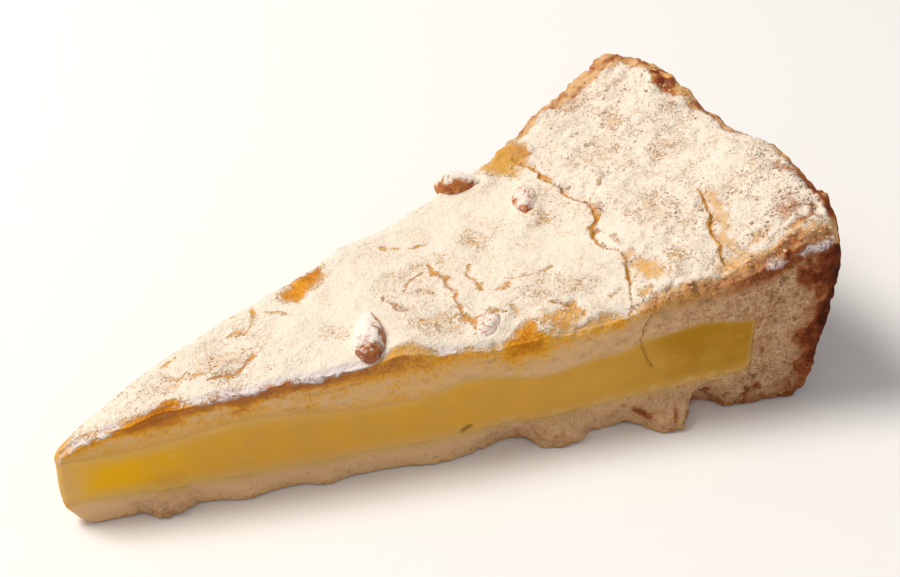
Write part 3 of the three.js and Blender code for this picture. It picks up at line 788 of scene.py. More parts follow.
def lid_soak(r, x, y, z, on_cut):
    """Stain of the custard: along the layer's foot on the cuts, and where it boiled up at the far edge."""
    above = z - filling_height(r) + 0.5 * lumps(r, z, 1.6, 49)
    soak = 0.5 * fall(0.1, 1.1, above)
    soak = soak + 0.35 * fall(-0.3, 2.6, above) * fall(45, 75, r)
    soak = np.maximum(soak, 0.6 * fall(-0.6, 3.4, above) * fall(16, 36, r))
    soak = soak * fall(118.4, 119.4, r)
    by_far_edge = fall(0.5, 1.5, patch_distance(x, y, 98.6, 22.4, 6, 4.6, 60))
    return np.where(on_cut, soak, 0.75 * by_far_edge)


# %% [markdown]
# ## The whole lid
# Top and cuts are worked out apart and joined by the side that a point is on. The cracks come after
# them, since sugar doesn't bridge a crack, and the outside of the brim comes last.

# %% Finish of the whole lid
def lid_finish(r, angle, z, on_cut, on_wall):
    """Sugar, gold, brown, soak, openness and shade over the whole outside of the lid."""
    x, y = on_flat(r, angle)
    near, on_top = angle < 0, ~on_cut & ~on_wall
    top = top_finish(x, y)
    on_sides = lid_cut_finish(r, angle, z, top[0])
    edged = rolled_edge(r, angle, *top)
    sugar, gold, brown = (np.where(on_cut, side, above) for side, above in zip(on_sides, edged))

    sugar = np.maximum(sugar, 1.05 * caught_sugar(r, angle, z) - 1.0)
    past_rim = (r - 131.6 + 1.2 * lumps(angle * RIM_RADIUS, z, 2.2, 40)) / 0.6
    sugar = np.clip(np.minimum(sugar, -past_rim), -1, 1)
    cracked, beside_crack = crack_depth(x, y) * on_top, crack_depth(x, y, 2.4) * on_top
    sugar = np.minimum(sugar, 0.9 - 1.3 * beside_crack - 0.9 * cracked)
    gold = np.maximum(gold, 0.62 * beside_crack)
    brown = np.where(beside_crack > 0.05, np.minimum(brown, 0.3), brown)
    # Brown at the bottom of a crack is painted shade in the groove.
    brown = np.maximum(brown, 0.4 * rise(0.6, 1, cracked))

    along = angle * RIM_RADIUS
    wall_brown = 0.66 + 0.5 * lumps(along, z, 3.2, 93) + 0.35 * lumps(along, z, 1.2, 94)
    brown = np.where(on_wall, wall_brown, brown)
    # The hairline crack on the near cut is painted shade, in brown.
    hairline = on_cut * near * fall(0.05, 0.32, to_line(r, z, HAIRLINE))
    brown = np.clip(np.maximum(brown, 0.5 * hairline), 0, 1)
    opened = np.where(on_cut, openness(r, z) * mix(0.15, 1, rise(84, 112, r)), 0.3)
    shade = near * np.where(on_cut, 1, fall(0.2, 2.2, to_nearer_cut(r, angle)))
    shade = shade * (1 - rise(60, 76, r) * (r < 92))
    shade = np.maximum(shade, 0.1 * rise(90, 106, r) * ~on_cut)
    soak = lid_soak(r, x, y, z, on_cut)
    return {"sugar": sugar, "gold": gold, "brown": brown, "soak": soak, "open": opened, "shade": shade}


# %% [markdown]
# ## Shell of the lid
# The lid's shell has 23 levels from the custard to its top. Its underside lies on the custard and shows
# nowhere. The upper edge of each cut is pinched in a little, where the knife pressed the crust down.

# %% Build the lid
def along_slice(flat, z, angle):
    """Actual radius of a point whose place along the slice is given as a radius on the flat."""
    return mix(tip_profile(z), wall_radius(z, angle), (flat - TIP_RADIUS) / (RIM_RADIUS - TIP_RADIUS))


def build_lid():
    flats = spaced((TIP_RADIUS, 0.44), (92, 0.3), (119, 0.37), (RIM_RADIUS, 0))
    vs, ws = across_slice(180), np.linspace(0, 1, 23)
    (i, j, k), faces = grid_shell((len(flats), len(vs), len(ws)), hidden_side=0)
    flat, angle, w = flats[i], vs[j] * HALF_ANGLE, ws[k]
    on_cut, on_wall = np.abs(vs[j]) == 1, i == len(flats) - 1
    low = filling_height(flat)
    for _ in range(3):
        low = filling_height(along_slice(flat, low, angle))
    z = mix(low, lid_top(flat, angle), w)
    r = along_slice(flat, z, angle) - BRIM_DRAWN_IN * (flat / RIM_RADIUS) * w**5
    r = r + 0.7 * w**4 * bump(flat - TIP_RADIUS, 1.5)
    pinched = 0.45 * rise(0.8, 1, w) ** 2
    out = (cut_relief(r, z, np.sign(angle)) - pinched) * bump(to_nearer_cut(r, angle), 1.6)
    finish = lid_finish(r, angle, z, on_cut & (w < 0.999), on_wall)
    return make_piece("sugared_lid", in_frame(r, angle, z, out), faces, finish, sharp_angle=120)


lid = build_lid()

# %% [markdown]
# ## The case
# Base and wall are one piece of pastry. Its top is low under the custard and jumps up at the wall, with
# a rounded corner between them. Only the cuts, the outside and the underside show.

# %% Build the case
def case_finish(r, angle, z, on_cut, on_wall, on_bottom):
    near = rise(96, 116, r)
    x, y = on_flat(r, angle)
    along = angle * RIM_RADIUS
    wall_brown = 0.84 + 0.5 * lumps(along, z, 3.2, 93) + 0.4 * lumps(along, z, 1.2, 94) - 0.15 * (z > 14)
    bottom_brown = 0.42 + 0.3 * near + 0.5 * lumps(x, y, 5, 95) + 0.4 * lumps(x, y, 1.6, 96)
    brown = np.select([on_cut, on_wall, on_bottom], [crumb_brown(r, z), wall_brown, bottom_brown], 0.1)
    gold = np.select([on_cut, on_bottom], [0.02 + 0.2 * fall(0.3, 1.4, z), 0.6], 0.45)
    in_base = fall(-0.2, 1.8, case_floor(r) - z) * fall(118.6, 119.2, r)
    beside = fall(0, 0.7, r - FILLING_END) * (r > 118.6) * (z > case_floor(118.9)) * 0.5
    soak = on_cut * np.maximum(in_base * 0.6, beside)
    opened = np.where(on_cut, openness(r, z), 0.5)
    return {"sugar": -1.0, "gold": gold, "brown": np.clip(brown, 0, 1), "soak": soak, "open": opened}


def build_case():
    flats = spaced((TIP_RADIUS, 0.36), (FILLING_END, 0.3), (RIM_RADIUS, 0))
    step = np.searchsorted(flats, FILLING_END)
    flats = np.insert(flats, step, FILLING_END - 0.04)
    vs, ws = across_slice(96), np.linspace(0, 1, 40) ** 1.25
    (i, j, k), faces = grid_shell((len(flats), len(vs), len(ws)), hidden_side=-1)
    flat, angle, w = flats[i], vs[j] * HALF_ANGLE, ws[k]
    on_cut, on_wall, on_bottom = np.abs(vs[j]) == 1, i == len(flats) - 1, k == 0
    in_wall = flat >= FILLING_END

    def place(z):
        base = mix(tip_profile(z), FILLING_END, (flat - TIP_RADIUS) / (FILLING_END - TIP_RADIUS))
        wall = mix(FILLING_END, wall_radius(z, angle), (flat - FILLING_END) / (RIM_RADIUS - FILLING_END))
        return np.where(in_wall, wall, base)

    top = np.where(in_wall, filling_height(flat), case_floor(flat))
    for _ in range(3):
        top = np.where(in_wall, filling_height(place(top)), case_floor(place(top)))
    z = top * w
    r = place(z)
    underside = 0.35 * np.clip(lumps(*on_flat(r, angle), 2.2, 97) + 0.1, 0, 1)
    inside = rise(0.4, 1.5, np.minimum(r - 4, to_nearer_cut(r, angle)))
    z = z + on_bottom * underside * inside
    out = cut_relief(r, z, np.sign(angle)) * bump(to_nearer_cut(r, angle), 2.5)
    finish = case_finish(r, angle, z, on_cut, on_wall, on_bottom)
    return make_piece("shortcrust_case_baked", in_frame(r, angle, z, out), faces, finish, sharp_angle=75)


case = build_case()

# %% [markdown]
# ## The custard
# Set custard cuts as clean as soft cheese: flat, moist and faintly wavy, with a few pale bubbles. Its
# yellow is brightest near the thin tip, which is painted light shining through, and deepens towards the
# wall and under the lid, partly because it is thicker there and partly as painted shade. It pales to tan
# where it dried at the tip and where it meets the pastry. It stands a hair behind the crumb, so the
# pastry's edges draw its outline.

# %% Marks on the custard's cut
BUBBLES = [  # radius, height, size
    (101.5, 12.3, 0.4), (104.6, 12.6, 0.3), (116.6, 14.6, 0.4), (110.4, 11.4, 0.3), (33, 9.6, 0.3),
    (48, 11, 0.3), (83.6, 9, 0.35),
]
FLAKE = (68.8, 5.6, 1.5, 0.55, 25)  # radius, height, half length, half width, heading: a flake tore out here
# How deep the yellow is along the cut: partly its thickness, partly painted light at the thin tip and painted
# shade towards the wall.
deepness_and_shade = curve_through(
    (4, 0.1), (8, 0), (20, 0.3), (32, 0.5), (60, 0.5), (80, 0.6), (95, 0.7), (112, 1), (119, 0.95)
)


def custard_dryness(r, z):
    """1 where the custard pales to tan: at the tip, by the pastry, and where crumb clings to its foot."""
    from_base, from_lid = z - case_floor(r), filling_height(r) - z
    past_middle = rise(60, 90, r)
    dry = mix(0.85, 0.5, past_middle) * fall(-0.3, 2.6, from_base)
    dry = np.maximum(dry, mix(0.7, 0.25, past_middle) * fall(0, 0.9, from_lid))
    by_lid = fall(-0.4, 2.8, from_lid + 0.6 * lumps(r, z, 3, 75))
    dry = np.maximum(dry, fall(30, 80, r) * 0.8 * by_lid)
    dry = np.maximum(dry, fall(3.6, 10.5, r + 1.6 * lumps(r, z, 4, 74)))
    dry = np.maximum(dry, 0.6 * fall(0, 0.8, FILLING_END - r))
    ragged = 2.6 * lumps(r, z, 1.9, 76) + 1.4 * lumps(r, z, 0.9, 77)
    clinging = fall(-0.3, 0.3, from_base - 0.5 + ragged)
    return np.maximum(dry, 0.95 * clinging * rise(56, 72, r))


def custard_relief(r, angle, z, marks):
    """Out of the cut's plane: faintly wavy, and level with the pastry where the two meet."""
    side = np.sign(angle)
    out = -0.1 + 0.3 * noise(r / 9, z / 6, 71) + 0.1 * lumps(r, z, 3, 72) - marks
    out = mix(cut_relief(r, case_floor(r), side), out, rise(0, 2.6, z - case_floor(r)))
    out = mix(cut_relief(r, filling_height(r), side), out, rise(0, 1.4, filling_height(r) - z))
    return out * bump(to_nearer_cut(r, angle), 1.5)


# %% [markdown]
# ## Shell of the custard
# Only the two cuts of the custard show, so its points are close together along and up, and wide apart
# from cut to cut.

# %% Build the custard
def build_custard():
    flats = spaced((FILLING_TIP, 0.3), (FILLING_END - 0.06, 0))
    vs, ws = across_slice(24), np.linspace(0, 1, 42)
    (i, j, k), faces = grid_shell((len(flats), len(vs), len(ws)))
    r, angle, w = flats[i], vs[j] * HALF_ANGLE, ws[k]
    near = angle < 0
    z = mix(case_floor(r) - 0.05, filling_height(r) + 0.05, w)
    r = r + (tip_profile(z) + 0.06 - FILLING_TIP) * fall(0, 6, r - FILLING_TIP)
    flake = near * fall(0.5, 1.1, patch_distance(r, z, *FLAKE))
    hairline = near * fall(0.05, 0.24, to_line(r + 0.4 * lumps(r, z, 1.2, 73), z, HAIRLINE))
    bubbles = sum(bump(np.hypot(r - at, z - height), size) for at, height, size in BUBBLES)
    out = custard_relief(r, angle, z, 0.3 * flake + 0.25 * hairline + 0.12 * bubbles)
    # The upper part past the middle is painted deeper still: painted shade under the lid.
    deep = deepness_and_shade(r) + 0.25 * rise(0.3, 1, w) * rise(90, 112, r) - 0.1
    finish = {
        "deep": np.clip(deep, 0, 1),
        "dry": np.clip(custard_dryness(r, z) + 0.35 * bubbles, 0, 1),
        # dark is painted shade in the hollow of the torn flake and in the hairline crack.
        "dark": 0.8 * np.maximum(flake, hairline),
    }
    return make_piece("set_custard", in_frame(r, angle, z, out), faces, finish)


custard = build_custard()

# %% [markdown]
# ## Pine nuts
# Toasted pine nuts lie half sunk in the dough. Each is turned from one tapered outline, as its solid is,
# with faint furrows along it. Sugar lies on what faces up and leaves one side or one end bare.

# %% Outline, faces and sugar of a nut
POINTEDNESS = 0.8  # 0 would be an even oval
RINGS, SIDES = 56, 40  # points along a nut and round it


def taper(q):
    """Radius along the nut, from 0 at the blunt end (q = 1) to 0 at the point (q = 0)."""
    return q ** ((1 + POINTEDNESS) / 2) * np.sqrt(1 - q)


def nut_faces():
    """Four-sided faces between the rings, and three-sided ones round the two ends."""
    ring = np.arange(RINGS * SIDES).reshape(RINGS, SIDES)
    following = np.roll(ring, -1, 1)
    body = np.stack([ring[:-1], following[:-1], following[1:], ring[1:]], -1).reshape(-1, 4).tolist()
    tip, blunt = RINGS * SIDES, RINGS * SIDES + 1
    caps = [[tip, b, a] for a, b in zip(ring[0], following[0])]
    return body + caps + [[blunt, a, b] for a, b in zip(ring[-1], following[-1])]


def nut_sugar(end, upward, sideways, speckle, bare_end, bare_side, reach, most):
    """Sugar lies on what faces up, down to reach, and leaves one end and one side bare."""
    sugar = 1.5 * (upward + reach) - 0.3
    sugar = np.minimum(sugar, (bare_end - end) * 2.6 if bare_end > 0 else (end - bare_end) * 2.2)
    sugar = np.minimum(sugar, 0.5 - 1.1 * sideways * bare_side)
    return np.clip(1.8 * sugar + 1.3 * speckle, -1, most)


# %% [markdown]
# ## Shells of the nuts
# The outline is turned in 40 steps, furrowed, thickened by its sugar, then tilted and turned the way the
# nut lies and set on the dough. Each nut is of its own length, so none is a copy of another.

# %% Build the nuts
def build_nut(name, x, y, heading, tilt, length, thickness, above, bare_end, bare_side, reach):
    turns, rounds = np.linspace(0.02, math.pi - 0.02, RINGS), np.arange(SIDES) * 2 * math.pi / SIDES
    turn, around = np.meshgrid(turns, rounds, indexing="ij")
    turn, around = np.append(turn.ravel(), [0, math.pi]), np.append(around.ravel(), [0, 0])
    widest = (1 + POINTEDNESS) / (2 + POINTEDNESS)
    radius = thickness / 2 * taper(np.sin(turn / 2) ** 2) / taper(widest)
    radius = radius * (1 + 0.035 * noise(around * 2.2, turn * 1.5, x) + 0.02 * np.sin(7 * around + 3 * turn))
    end, upward, sideways = np.cos(turn), np.sin(around), np.cos(around)
    along, round_it = turn * length / 2, around * thickness / 2
    speckle = 1.5 * lumps(along, round_it, 0.55, 4) + 1.1 * lumps(along, round_it, 1.3, 5)
    sugar = nut_sugar(end, upward, sideways, speckle, bare_end, bare_side, reach, 0.6 if above > 0 else 0.1)
    radius = radius + (radius > 0.2) * 0.2 * rise(-0.3, 0.6, sugar)

    px, py, pz = length / 2 * end, radius * sideways, radius * upward
    t, h = math.radians(tilt), math.radians(heading)
    px, pz = px * math.cos(t) + pz * math.sin(t), pz * math.cos(t) - px * math.sin(t)
    fx = px * math.cos(h) - py * math.sin(h) + x + MEETING_X
    fy = px * math.sin(h) + py * math.cos(h) + y
    rest = float(lid_form(*polar(x, y))) + above
    toast = 0.5 + 0.5 * end * (1 if bare_end > 0 else -1)
    finish = {"sugar": sugar, "toast": toast, "shade": 0.45}
    return make_piece(name + "_toasted", np.stack([fx, fy, pz + rest], -1), nut_faces(), finish)


nuts = {name: build_nut(name, *nut) for name, nut in NUTS.items()}

# %% [markdown]
# ## Crumbs and sugar lumps
# Loose crumbs lie along the cracks and cling to the foot, and the sugar has clotted into small lumps.
# Each kind is one mesh of many small rough lumps, because scattered instances wouldn't be exported.

# %% Scatter small lumps
def lump_shape():
    """A ball of 42 points, from an icosahedron with each face split once."""
    mesh = bpy.data.meshes.new("ball")
    ball = bmesh.new()
    bmesh.ops.create_icosphere(ball, subdivisions=2, radius=1)
    ball.to_mesh(mesh)
    points = np.array([v.co for v in mesh.vertices])
    faces = np.array([p.vertices for p in mesh.polygons])
    ball.free()
    bpy.data.meshes.remove(mesh)
    return points, faces


BALL_POINTS, BALL_FACES = lump_shape()


def build_lumps(name, places, sizes, flatness, rng, finish):
    """One mesh of rough lumps at places in mm, each of its own size and turned its own way."""
    points, faces = [], []
    for n, (place, size) in enumerate(zip(places, sizes)):
        rough = 1 + 0.22 * rng.standard_normal(len(BALL_POINTS)).clip(-1.6, 1.6)
        turn = np.linalg.qr(rng.standard_normal((3, 3)))[0]
        turn *= np.linalg.det(turn)
        stretched = BALL_POINTS * rough[:, None] * (1, rng.uniform(0.65, 1), rng.uniform(0.55, 0.9))
        lump = stretched @ turn * size * (1, 1, flatness)
        points.append(lump + place)
        faces.append(BALL_FACES + n * len(BALL_POINTS))
    on_points = {}
    for key, values in finish.items():
        on_points[key] = np.repeat(np.broadcast_to(values, len(sizes)), len(BALL_POINTS))
    return make_piece(name, np.concatenate(points), np.concatenate(faces).tolist(), on_points, sharp_angle=80)


# %% [markdown]
# ## Crumbs on the lid
# The larger crumbs lie where the crust broke: along the cracks, at the crumbled corner, along the near
# edge and round the rim. Random places near given lines and heaps put them there.

# %% Places of crumbs
CRUMBS_BY_CRACKS = [(CRACKS[0], 40, 0.8), (CRACKS[2], 24, 0.8), (CRACKS[1], 6, 0.5)]  # crack, count, spread
CRUMB_HEAPS = [  # middle x, y, spread x, y, count
    (124, -25, 3.2, 2.6, 50), (100, -18, 3, 2.6, 14), (128, 15, 1.6, 5, 30), (124, 29, 3, 1, 30),
]
rng = np.random.default_rng(12)


def on_lid(x, y, sink):
    """Places on the lid's top in the frame, sunk by so much."""
    return np.stack([x + MEETING_X, y, lid_top(*polar(x, y)) - sink], -1)


def along_line(points, count, spread):
    """Random places near a line through points."""
    points = np.array(points, float)
    piece = rng.integers(0, len(points) - 1, count)
    t = rng.random(count)[:, None]
    return points[piece] * (1 - t) + points[piece + 1] * t + rng.normal(0, spread, (count, 2))


def heap(x, y, spread_x, spread_y, count):
    return rng.normal((x, y), (spread_x, spread_y), (count, 2))


def within_lid(spots, outer, from_cuts):
    """The spots inside a radius that are clear of both cuts."""
    r, angle = polar(*spots.T)
    return spots[(r < outer) & (np.abs(angle) < HALF_ANGLE - from_cuts / r)]


def lump_sizes(low, high, count, mostly, larger):
    """Radii in mm. The share mostly of them are small, and the rest are so many times larger."""
    return rng.uniform(low, high, count) * np.where(rng.random(count) > mostly, larger, 1)


# %% [markdown]
# ## Crumbs in their places
# A crumb that lies on sugar is dusted with it, and one by the bare near edge isn't.

# %% Scatter crumbs on the lid
spots = [along_line(crack[0], count, spread) for crack, count, spread in CRUMBS_BY_CRACKS]
spots += [heap(*its_heap) for its_heap in CRUMB_HEAPS]
radii = rng.uniform(98, 131, 60)
spots.append(np.stack(on_flat(radii, np.abs(rng.normal(1.6, 1, 60)) / radii - HALF_ANGLE), 1))
angles = rng.uniform(-1, 1, 70) * HALF_ANGLE
spots.append(np.stack(on_flat(131 - np.abs(rng.normal(0, 2, 70)), angles), 1))
spots = within_lid(np.concatenate(spots), 131.6, 0.5)
x, y = spots.T
sizes = lump_sizes(0.15, 0.38, len(spots), 0.8, 1.7)
sugar = np.minimum(top_finish(x, y)[0], y * 0.5 + x * 0.13 - 0.7) * 0.6 - 0.2
gold, brown = rng.uniform(0.15, 0.4, len(spots)), rng.uniform(0, 0.35, len(spots))
finish = {"sugar": sugar, "gold": gold, "brown": brown, "soak": 0, "open": 0.2}
lid_crumbs = build_lumps("lid_crumbs", on_lid(x, y, 0.14), sizes, 0.6, rng, finish)

# %% [markdown]
# ## Lumps of sugar
# Icing sugar clots in the sieve. The clots lie where the sugar is whole, most of them near the rim.

# %% Scatter lumps of sugar
spots = [rng.uniform((95, -34), (131, 34), (90, 2)), heap(125, -25, 4, 4, 90), heap(118, 8, 7, 14, 60)]
spots = within_lid(np.concatenate(spots), 130, 0.8)
r, angle = polar(*spots.T)
spots = spots[(top_finish(*spots.T)[0] > 0.05) & (to_near_cut(r, angle) > bare_edge(r) + 1)]
sizes = lump_sizes(0.12, 0.26, len(spots), 0.95, 1.6) * 1.4
finish = {"sugar": 1, "gold": 0.4, "brown": 0, "soak": 0, "open": 0}
sugar_lumps = build_lumps("sugar_lumps", on_lid(*spots.T, 0.06), sizes, 0.45, rng, finish)

# %% [markdown]
# ## Crumbs on the cuts
# A knife leaves loose crumb behind. Most of it clings low on both cuts, and some on the torn wall.

# %% Scatter crumbs on the cuts
def on_cut(r, z, side, sink):
    """Places on the crumb of a cut in the frame."""
    return in_frame(r, side * HALF_ANGLE + 0 * r, z, cut_relief(r, z, side) - sink)


ALONG_FOOT, ON_WALL = 150, 50  # crumbs on each cut
places, browns = [], []
for side in (-1, 1):
    r = np.concatenate([rng.uniform(14, 128, ALONG_FOOT), rng.uniform(119.5, 130, ON_WALL)])
    z = np.concatenate([0.35 + 2.6 * rng.random(ALONG_FOOT) ** 2, rng.uniform(1, 26, ON_WALL)])
    places.append(on_cut(r, z, side, 0.18))
    browns.append(crumb_brown(r, z) * rng.uniform(0.5, 1.1, len(r)) + 0.1)
places, browns = np.concatenate(places), np.concatenate(browns)
sizes = rng.uniform(0.15, 0.42, len(places))
gold = rng.uniform(0, 0.12, len(places))
finish = {"sugar": -1, "gold": gold, "brown": browns, "soak": 0, "open": 0.3}
cut_crumbs = build_lumps("cut_crumbs", places, sizes, 1, rng, finish)

# %% [markdown]
# ## Colours and nodes
# Colours are kept as sRGB hex, the way a colour picker shows them, and turned to linear light once.
# One function adds a node. The short ones beside it give plain names to the few kinds of node that every
# finish here is made of, so that a material reads as a list of what happens to its colour.

# %% Helpers for materials
def linear(hex_colour):
    """An sRGB hex colour as linear light, with alpha."""
    parts = [int(hex_colour[i : i + 2], 16) / 255 for i in (1, 3, 5)]
    return [c / 12.92 if c <= 0.04045 else ((c + 0.055) / 1.055) ** 2.4 for c in parts] + [1.0]


class Finish:
    """A material in the making. Each method adds a node and gives back its output."""

    def __init__(self, name):
        self.material = bpy.data.materials.new(name)
        self.material.use_nodes = True
        self.tree = self.material.node_tree
        self.tree.nodes.clear()
        self.place = self.add("ShaderNodeTexCoord", {}, out="Object")

    def add(self, kind, inputs, stops=(), out=0, **settings):
        """inputs maps a socket's name or number to a value, a hex colour or another node's output."""
        node = self.tree.nodes.new(kind)
        for key, value in settings.items():
            setattr(node, key, value)
        for socket, value in inputs.items():
            if isinstance(value, bpy.types.NodeSocket):
                self.tree.links.new(value, node.inputs[socket])
            else:
                node.inputs[socket].default_value = linear(value) if isinstance(value, str) else value
        for n, (place, hex_colour) in enumerate(stops):
            elements = node.color_ramp.elements
            stop = elements[n] if n < 2 else elements.new(place)
            stop.position, stop.color = place, linear(hex_colour)
        return node.outputs[out] if node.outputs else None

    def number(self, name):
        """One of the numbers that a piece has on its points."""
        return self.add("ShaderNodeAttribute", {}, attribute_name=name, out="Fac")

    def noise(self, size, detail, roughness=0.5):
        """Noise with features that are so many millimetres across."""
        inputs = {"Vector": self.place, "Scale": 1000 / size, "Detail": detail, "Roughness": roughness}
        return self.add("ShaderNodeTexNoise", inputs)

    def scaled(self, value, times, plus=0.0, clamp=False):
        """value * times + plus. Each may be a number or an output."""
        inputs = {0: value, 1: times, 2: plus}
        return self.add("ShaderNodeMath", inputs, operation="MULTIPLY_ADD", use_clamp=clamp)

    def fade(self, value, start, end, low=0.0, high=1.0, easing="LINEAR"):
        """From low to high while the value goes from start to end."""
        inputs = {0: value, "From Min": start, "From Max": end, "To Min": low, "To Max": high}
        return self.add("ShaderNodeMapRange", inputs, interpolation_type=easing)

    def blend(self, amount, first, second):
        """The first colour where amount is 0, the second where it is 1."""
        return self.add("ShaderNodeMix", {0: amount, 6: first, 7: second}, data_type="RGBA", out=2)

    def blend_numbers(self, amount, first, second):
        return self.add("ShaderNodeMix", {0: amount, 2: first, 3: second}, data_type="FLOAT")

    def ramp(self, value, *stops):
        """Colours along a number, as (place, hex colour): the first, the last, then those between."""
        return self.add("ShaderNodeValToRGB", {0: value}, stops)

    def relief(self, height, depth, strength):
        """Fine relief so many millimetres deep."""
        inputs = {"Height": height, "Distance": depth / 1000, "Strength": strength}
        return self.add("ShaderNodeBump", inputs, out="Normal")

    def surface(self, inputs):
        """Ends the material with its surface."""
        shader = self.add("ShaderNodeBsdfPrincipled", inputs)
        self.add("ShaderNodeOutputMaterial", {"Surface": shader})
        return self.material


# %% [markdown]
# ## Material: icing sugar
# Icing sugar is sugar milled to a powder with a little starch. It scatters light in every direction, so
# it is matt and nearly white, and warm where it lies thick over butter pastry. Where it is thin it lets
# the crust through in specks and looks greyer. Its edge is drawn by noise of under a millimetre, because
# the points of the mesh are too far apart to break it up.

# %% How much sugar covers the crust
GRAIN, FINE_GRAIN, DRIFT = 1.15, 0.5, 2.8  # size of the features, mm


def sugar_cover(finish, thick, grain, fine, drift):
    """From 0 on bare crust to 1 under whole sugar, with fine flecks where cracks let the crust through."""
    veil = finish.fade(thick, -0.95, 0.3, easing="SMOOTHSTEP")
    ragged = finish.scaled(grain, 3.4, -1.45)
    heaps = finish.fade(finish.scaled(thick, 0.9, ragged), -0.2, 0.2, easing="SMOOTHSTEP")
    covered = finish.blend_numbers(heaps, finish.scaled(veil, 0.55), finish.scaled(veil, 0.75, 0.25))
    from_crease = finish.add("ShaderNodeMath", {0: finish.scaled(grain, 1.0, -0.5)}, operation="ABSOLUTE")
    crease = finish.fade(from_crease, 0.065, 0.01)
    broken = finish.fade(finish.scaled(drift, 0.9, fine), 0.93, 1.05)
    thin = finish.fade(thick, 0.76, 0.12)
    fleck = finish.scaled(finish.scaled(crease, broken), thin)
    return finish.scaled(covered, finish.scaled(fleck, -1.0, 1.0))


# %% [markdown]
# ## Sugar over the crust
# The powder is whitest where it lies thick, and greyer in the dents between its lumps, which is painted
# shade. Its height is its own, not the crust's: fine lumps of 0.5 to 1 mm, which give it its soft, floury
# look.

# %% Colour and height of a crust with sugar over it
SUGAR_THIN, SUGAR_MIDDLE, SUGAR_THICK = "#e2cdb6", "#f8e7d1", "#fff1de"  # crust tints it, the more so if thin
SUGAR_SHADED = "#f9edea"  # away from the window, where it is lit by the cooler room


def under_sugar(finish, crust, crust_height):
    """Colour and height of a sugared crust, and how much of it is covered."""
    grain = finish.noise(GRAIN, 4.0, 0.6)
    fine = finish.noise(FINE_GRAIN, 4.0, 0.65)
    drift = finish.noise(DRIFT, 3.0)
    thick = finish.scaled(finish.number("sugar"), 1.0, finish.scaled(drift, 0.7, -0.35))
    cover = sugar_cover(finish, thick, grain, fine, drift)
    # The same noise that raises the powder makes it whiter on its lumps and darker in its dents: painted
    # shade.
    grain_and_dent_shade = finish.scaled(fine, 1.6, finish.scaled(grain, 1.3, -0.95))
    depth = finish.scaled(thick, 1.15, grain_and_dent_shade, clamp=True)
    powder = finish.ramp(depth, (0.0, SUGAR_THIN), (1.0, SUGAR_THICK), (0.45, SUGAR_MIDDLE))
    powder = finish.blend(finish.number("shade"), powder, SUGAR_SHADED)
    powdery = finish.scaled(finish.scaled(grain, 0.7, fine), 0.95, 0.05)
    height = finish.blend_numbers(cover, crust_height, powdery)
    return finish.blend(cover, crust, powder), height, cover


# %% [markdown]
# ## Material: baked shortcrust
# Shortcrust is flour rubbed with butter, pressed out and baked. Cut or broken it is a dry, matt, sandy
# crumb, pale at the heart. Its skin turns gold, and red-brown where the tin was hottest. So the colour
# starts at crumb and takes on gold, stain and brown from the numbers on the points, each broken up by
# noise of 0.5 to 3 mm.

# %% Colours of the crumb, the golden skin and the roasted crust
CRUMB_PALE, CRUMB_WARM_AND_SHADED = "#efc8a0", "#bd885a"  # torn crumb, on its grains and between them
SMEARED = "#e2b888"  # crumb that the knife drew smooth
PIT = "#7d5029"  # the shade inside a small hole
CUSTARD_STAIN = "#d6a552"  # crumb that took up custard
SKIN = [(0.0, "#e9c392"), (1.0, "#ad640f"), (0.3, "#ebb662"), (0.55, "#e9a42c"), (0.8, "#d08218")]
ROAST = [(0.2, "#c58c58"), (1.0, "#511b06"), (0.5, "#ab6334"), (0.75, "#843a13")]
SAND, MOTTLE, PITS = 0.55, 2.4, 0.7  # size of the features, mm


# %% [markdown]
# ## Shortcrust from the inside out
# First the crumb, then its skin, the custard's stain, the roast and the pits, each laid over the last.

# %% Shortcrust
def shortcrust(name):
    finish = Finish(name)
    gold, brown, soak, opened = (finish.number(key) for key in ("gold", "brown", "soak", "open"))
    mottle = finish.noise(MOTTLE, 4.0, 0.6)
    sand = finish.noise(SAND, 3.0, 0.65)
    # The crumb is paler on its grains and darker between them, from the same sand noise as its relief: partly
    # its own tone, partly painted shade in the hollows.
    crumb = finish.ramp(finish.scaled(mottle, 0.5, sand), (0.6, CRUMB_WARM_AND_SHADED), (0.9, CRUMB_PALE))
    crumb = finish.blend(finish.fade(opened, 0.1, 0.9), SMEARED, crumb)
    uneven = finish.scaled(sand, 1.5, -0.75)
    uneven = finish.scaled(uneven, 1.0, finish.scaled(mottle, 1.1, -0.55))
    golden = finish.scaled(uneven, 0.5, gold, clamp=True)
    crust = finish.blend(finish.fade(golden, 0.05, 0.5), crumb, finish.ramp(golden, *SKIN))
    crust = finish.blend(soak, crust, CUSTARD_STAIN)
    roasted = finish.scaled(uneven, 0.42, brown, clamp=True)
    crust = finish.blend(finish.fade(roasted, 0.14, 0.5), crust, finish.ramp(roasted, *ROAST))
    pit = finish.fade(finish.noise(PITS, 3.0, 0.6), 0.43, 0.33, high=0.6)
    crust = finish.blend(finish.scaled(pit, opened), crust, PIT)
    crust_height = finish.scaled(sand, finish.scaled(opened, 1.3, 0.4))
    colour, height, _ = under_sugar(finish, crust, crust_height)
    relief = finish.relief(height, 0.5, 0.9)
    return finish.surface(
        {"Base Color": colour, "Normal": relief, "Roughness": 0.85, "IOR": 1.45, "Specular IOR Level": 0.25}
    )


baked_shortcrust = shortcrust("baked_shortcrust")
icing_sugared_shortcrust = shortcrust("icing_sugared_shortcrust")

# %% [markdown]
# ## Material: set lemon custard
# Lemon custard is eggs, sugar, butter and juice, set in the oven to a smooth gel. It is moist, so it has
# a soft shine, and light goes a few millimetres into it, which makes it glow a little. Its yellow
# deepens with thickness; the same ramp also paints light at the thin tip and shade towards the wall.

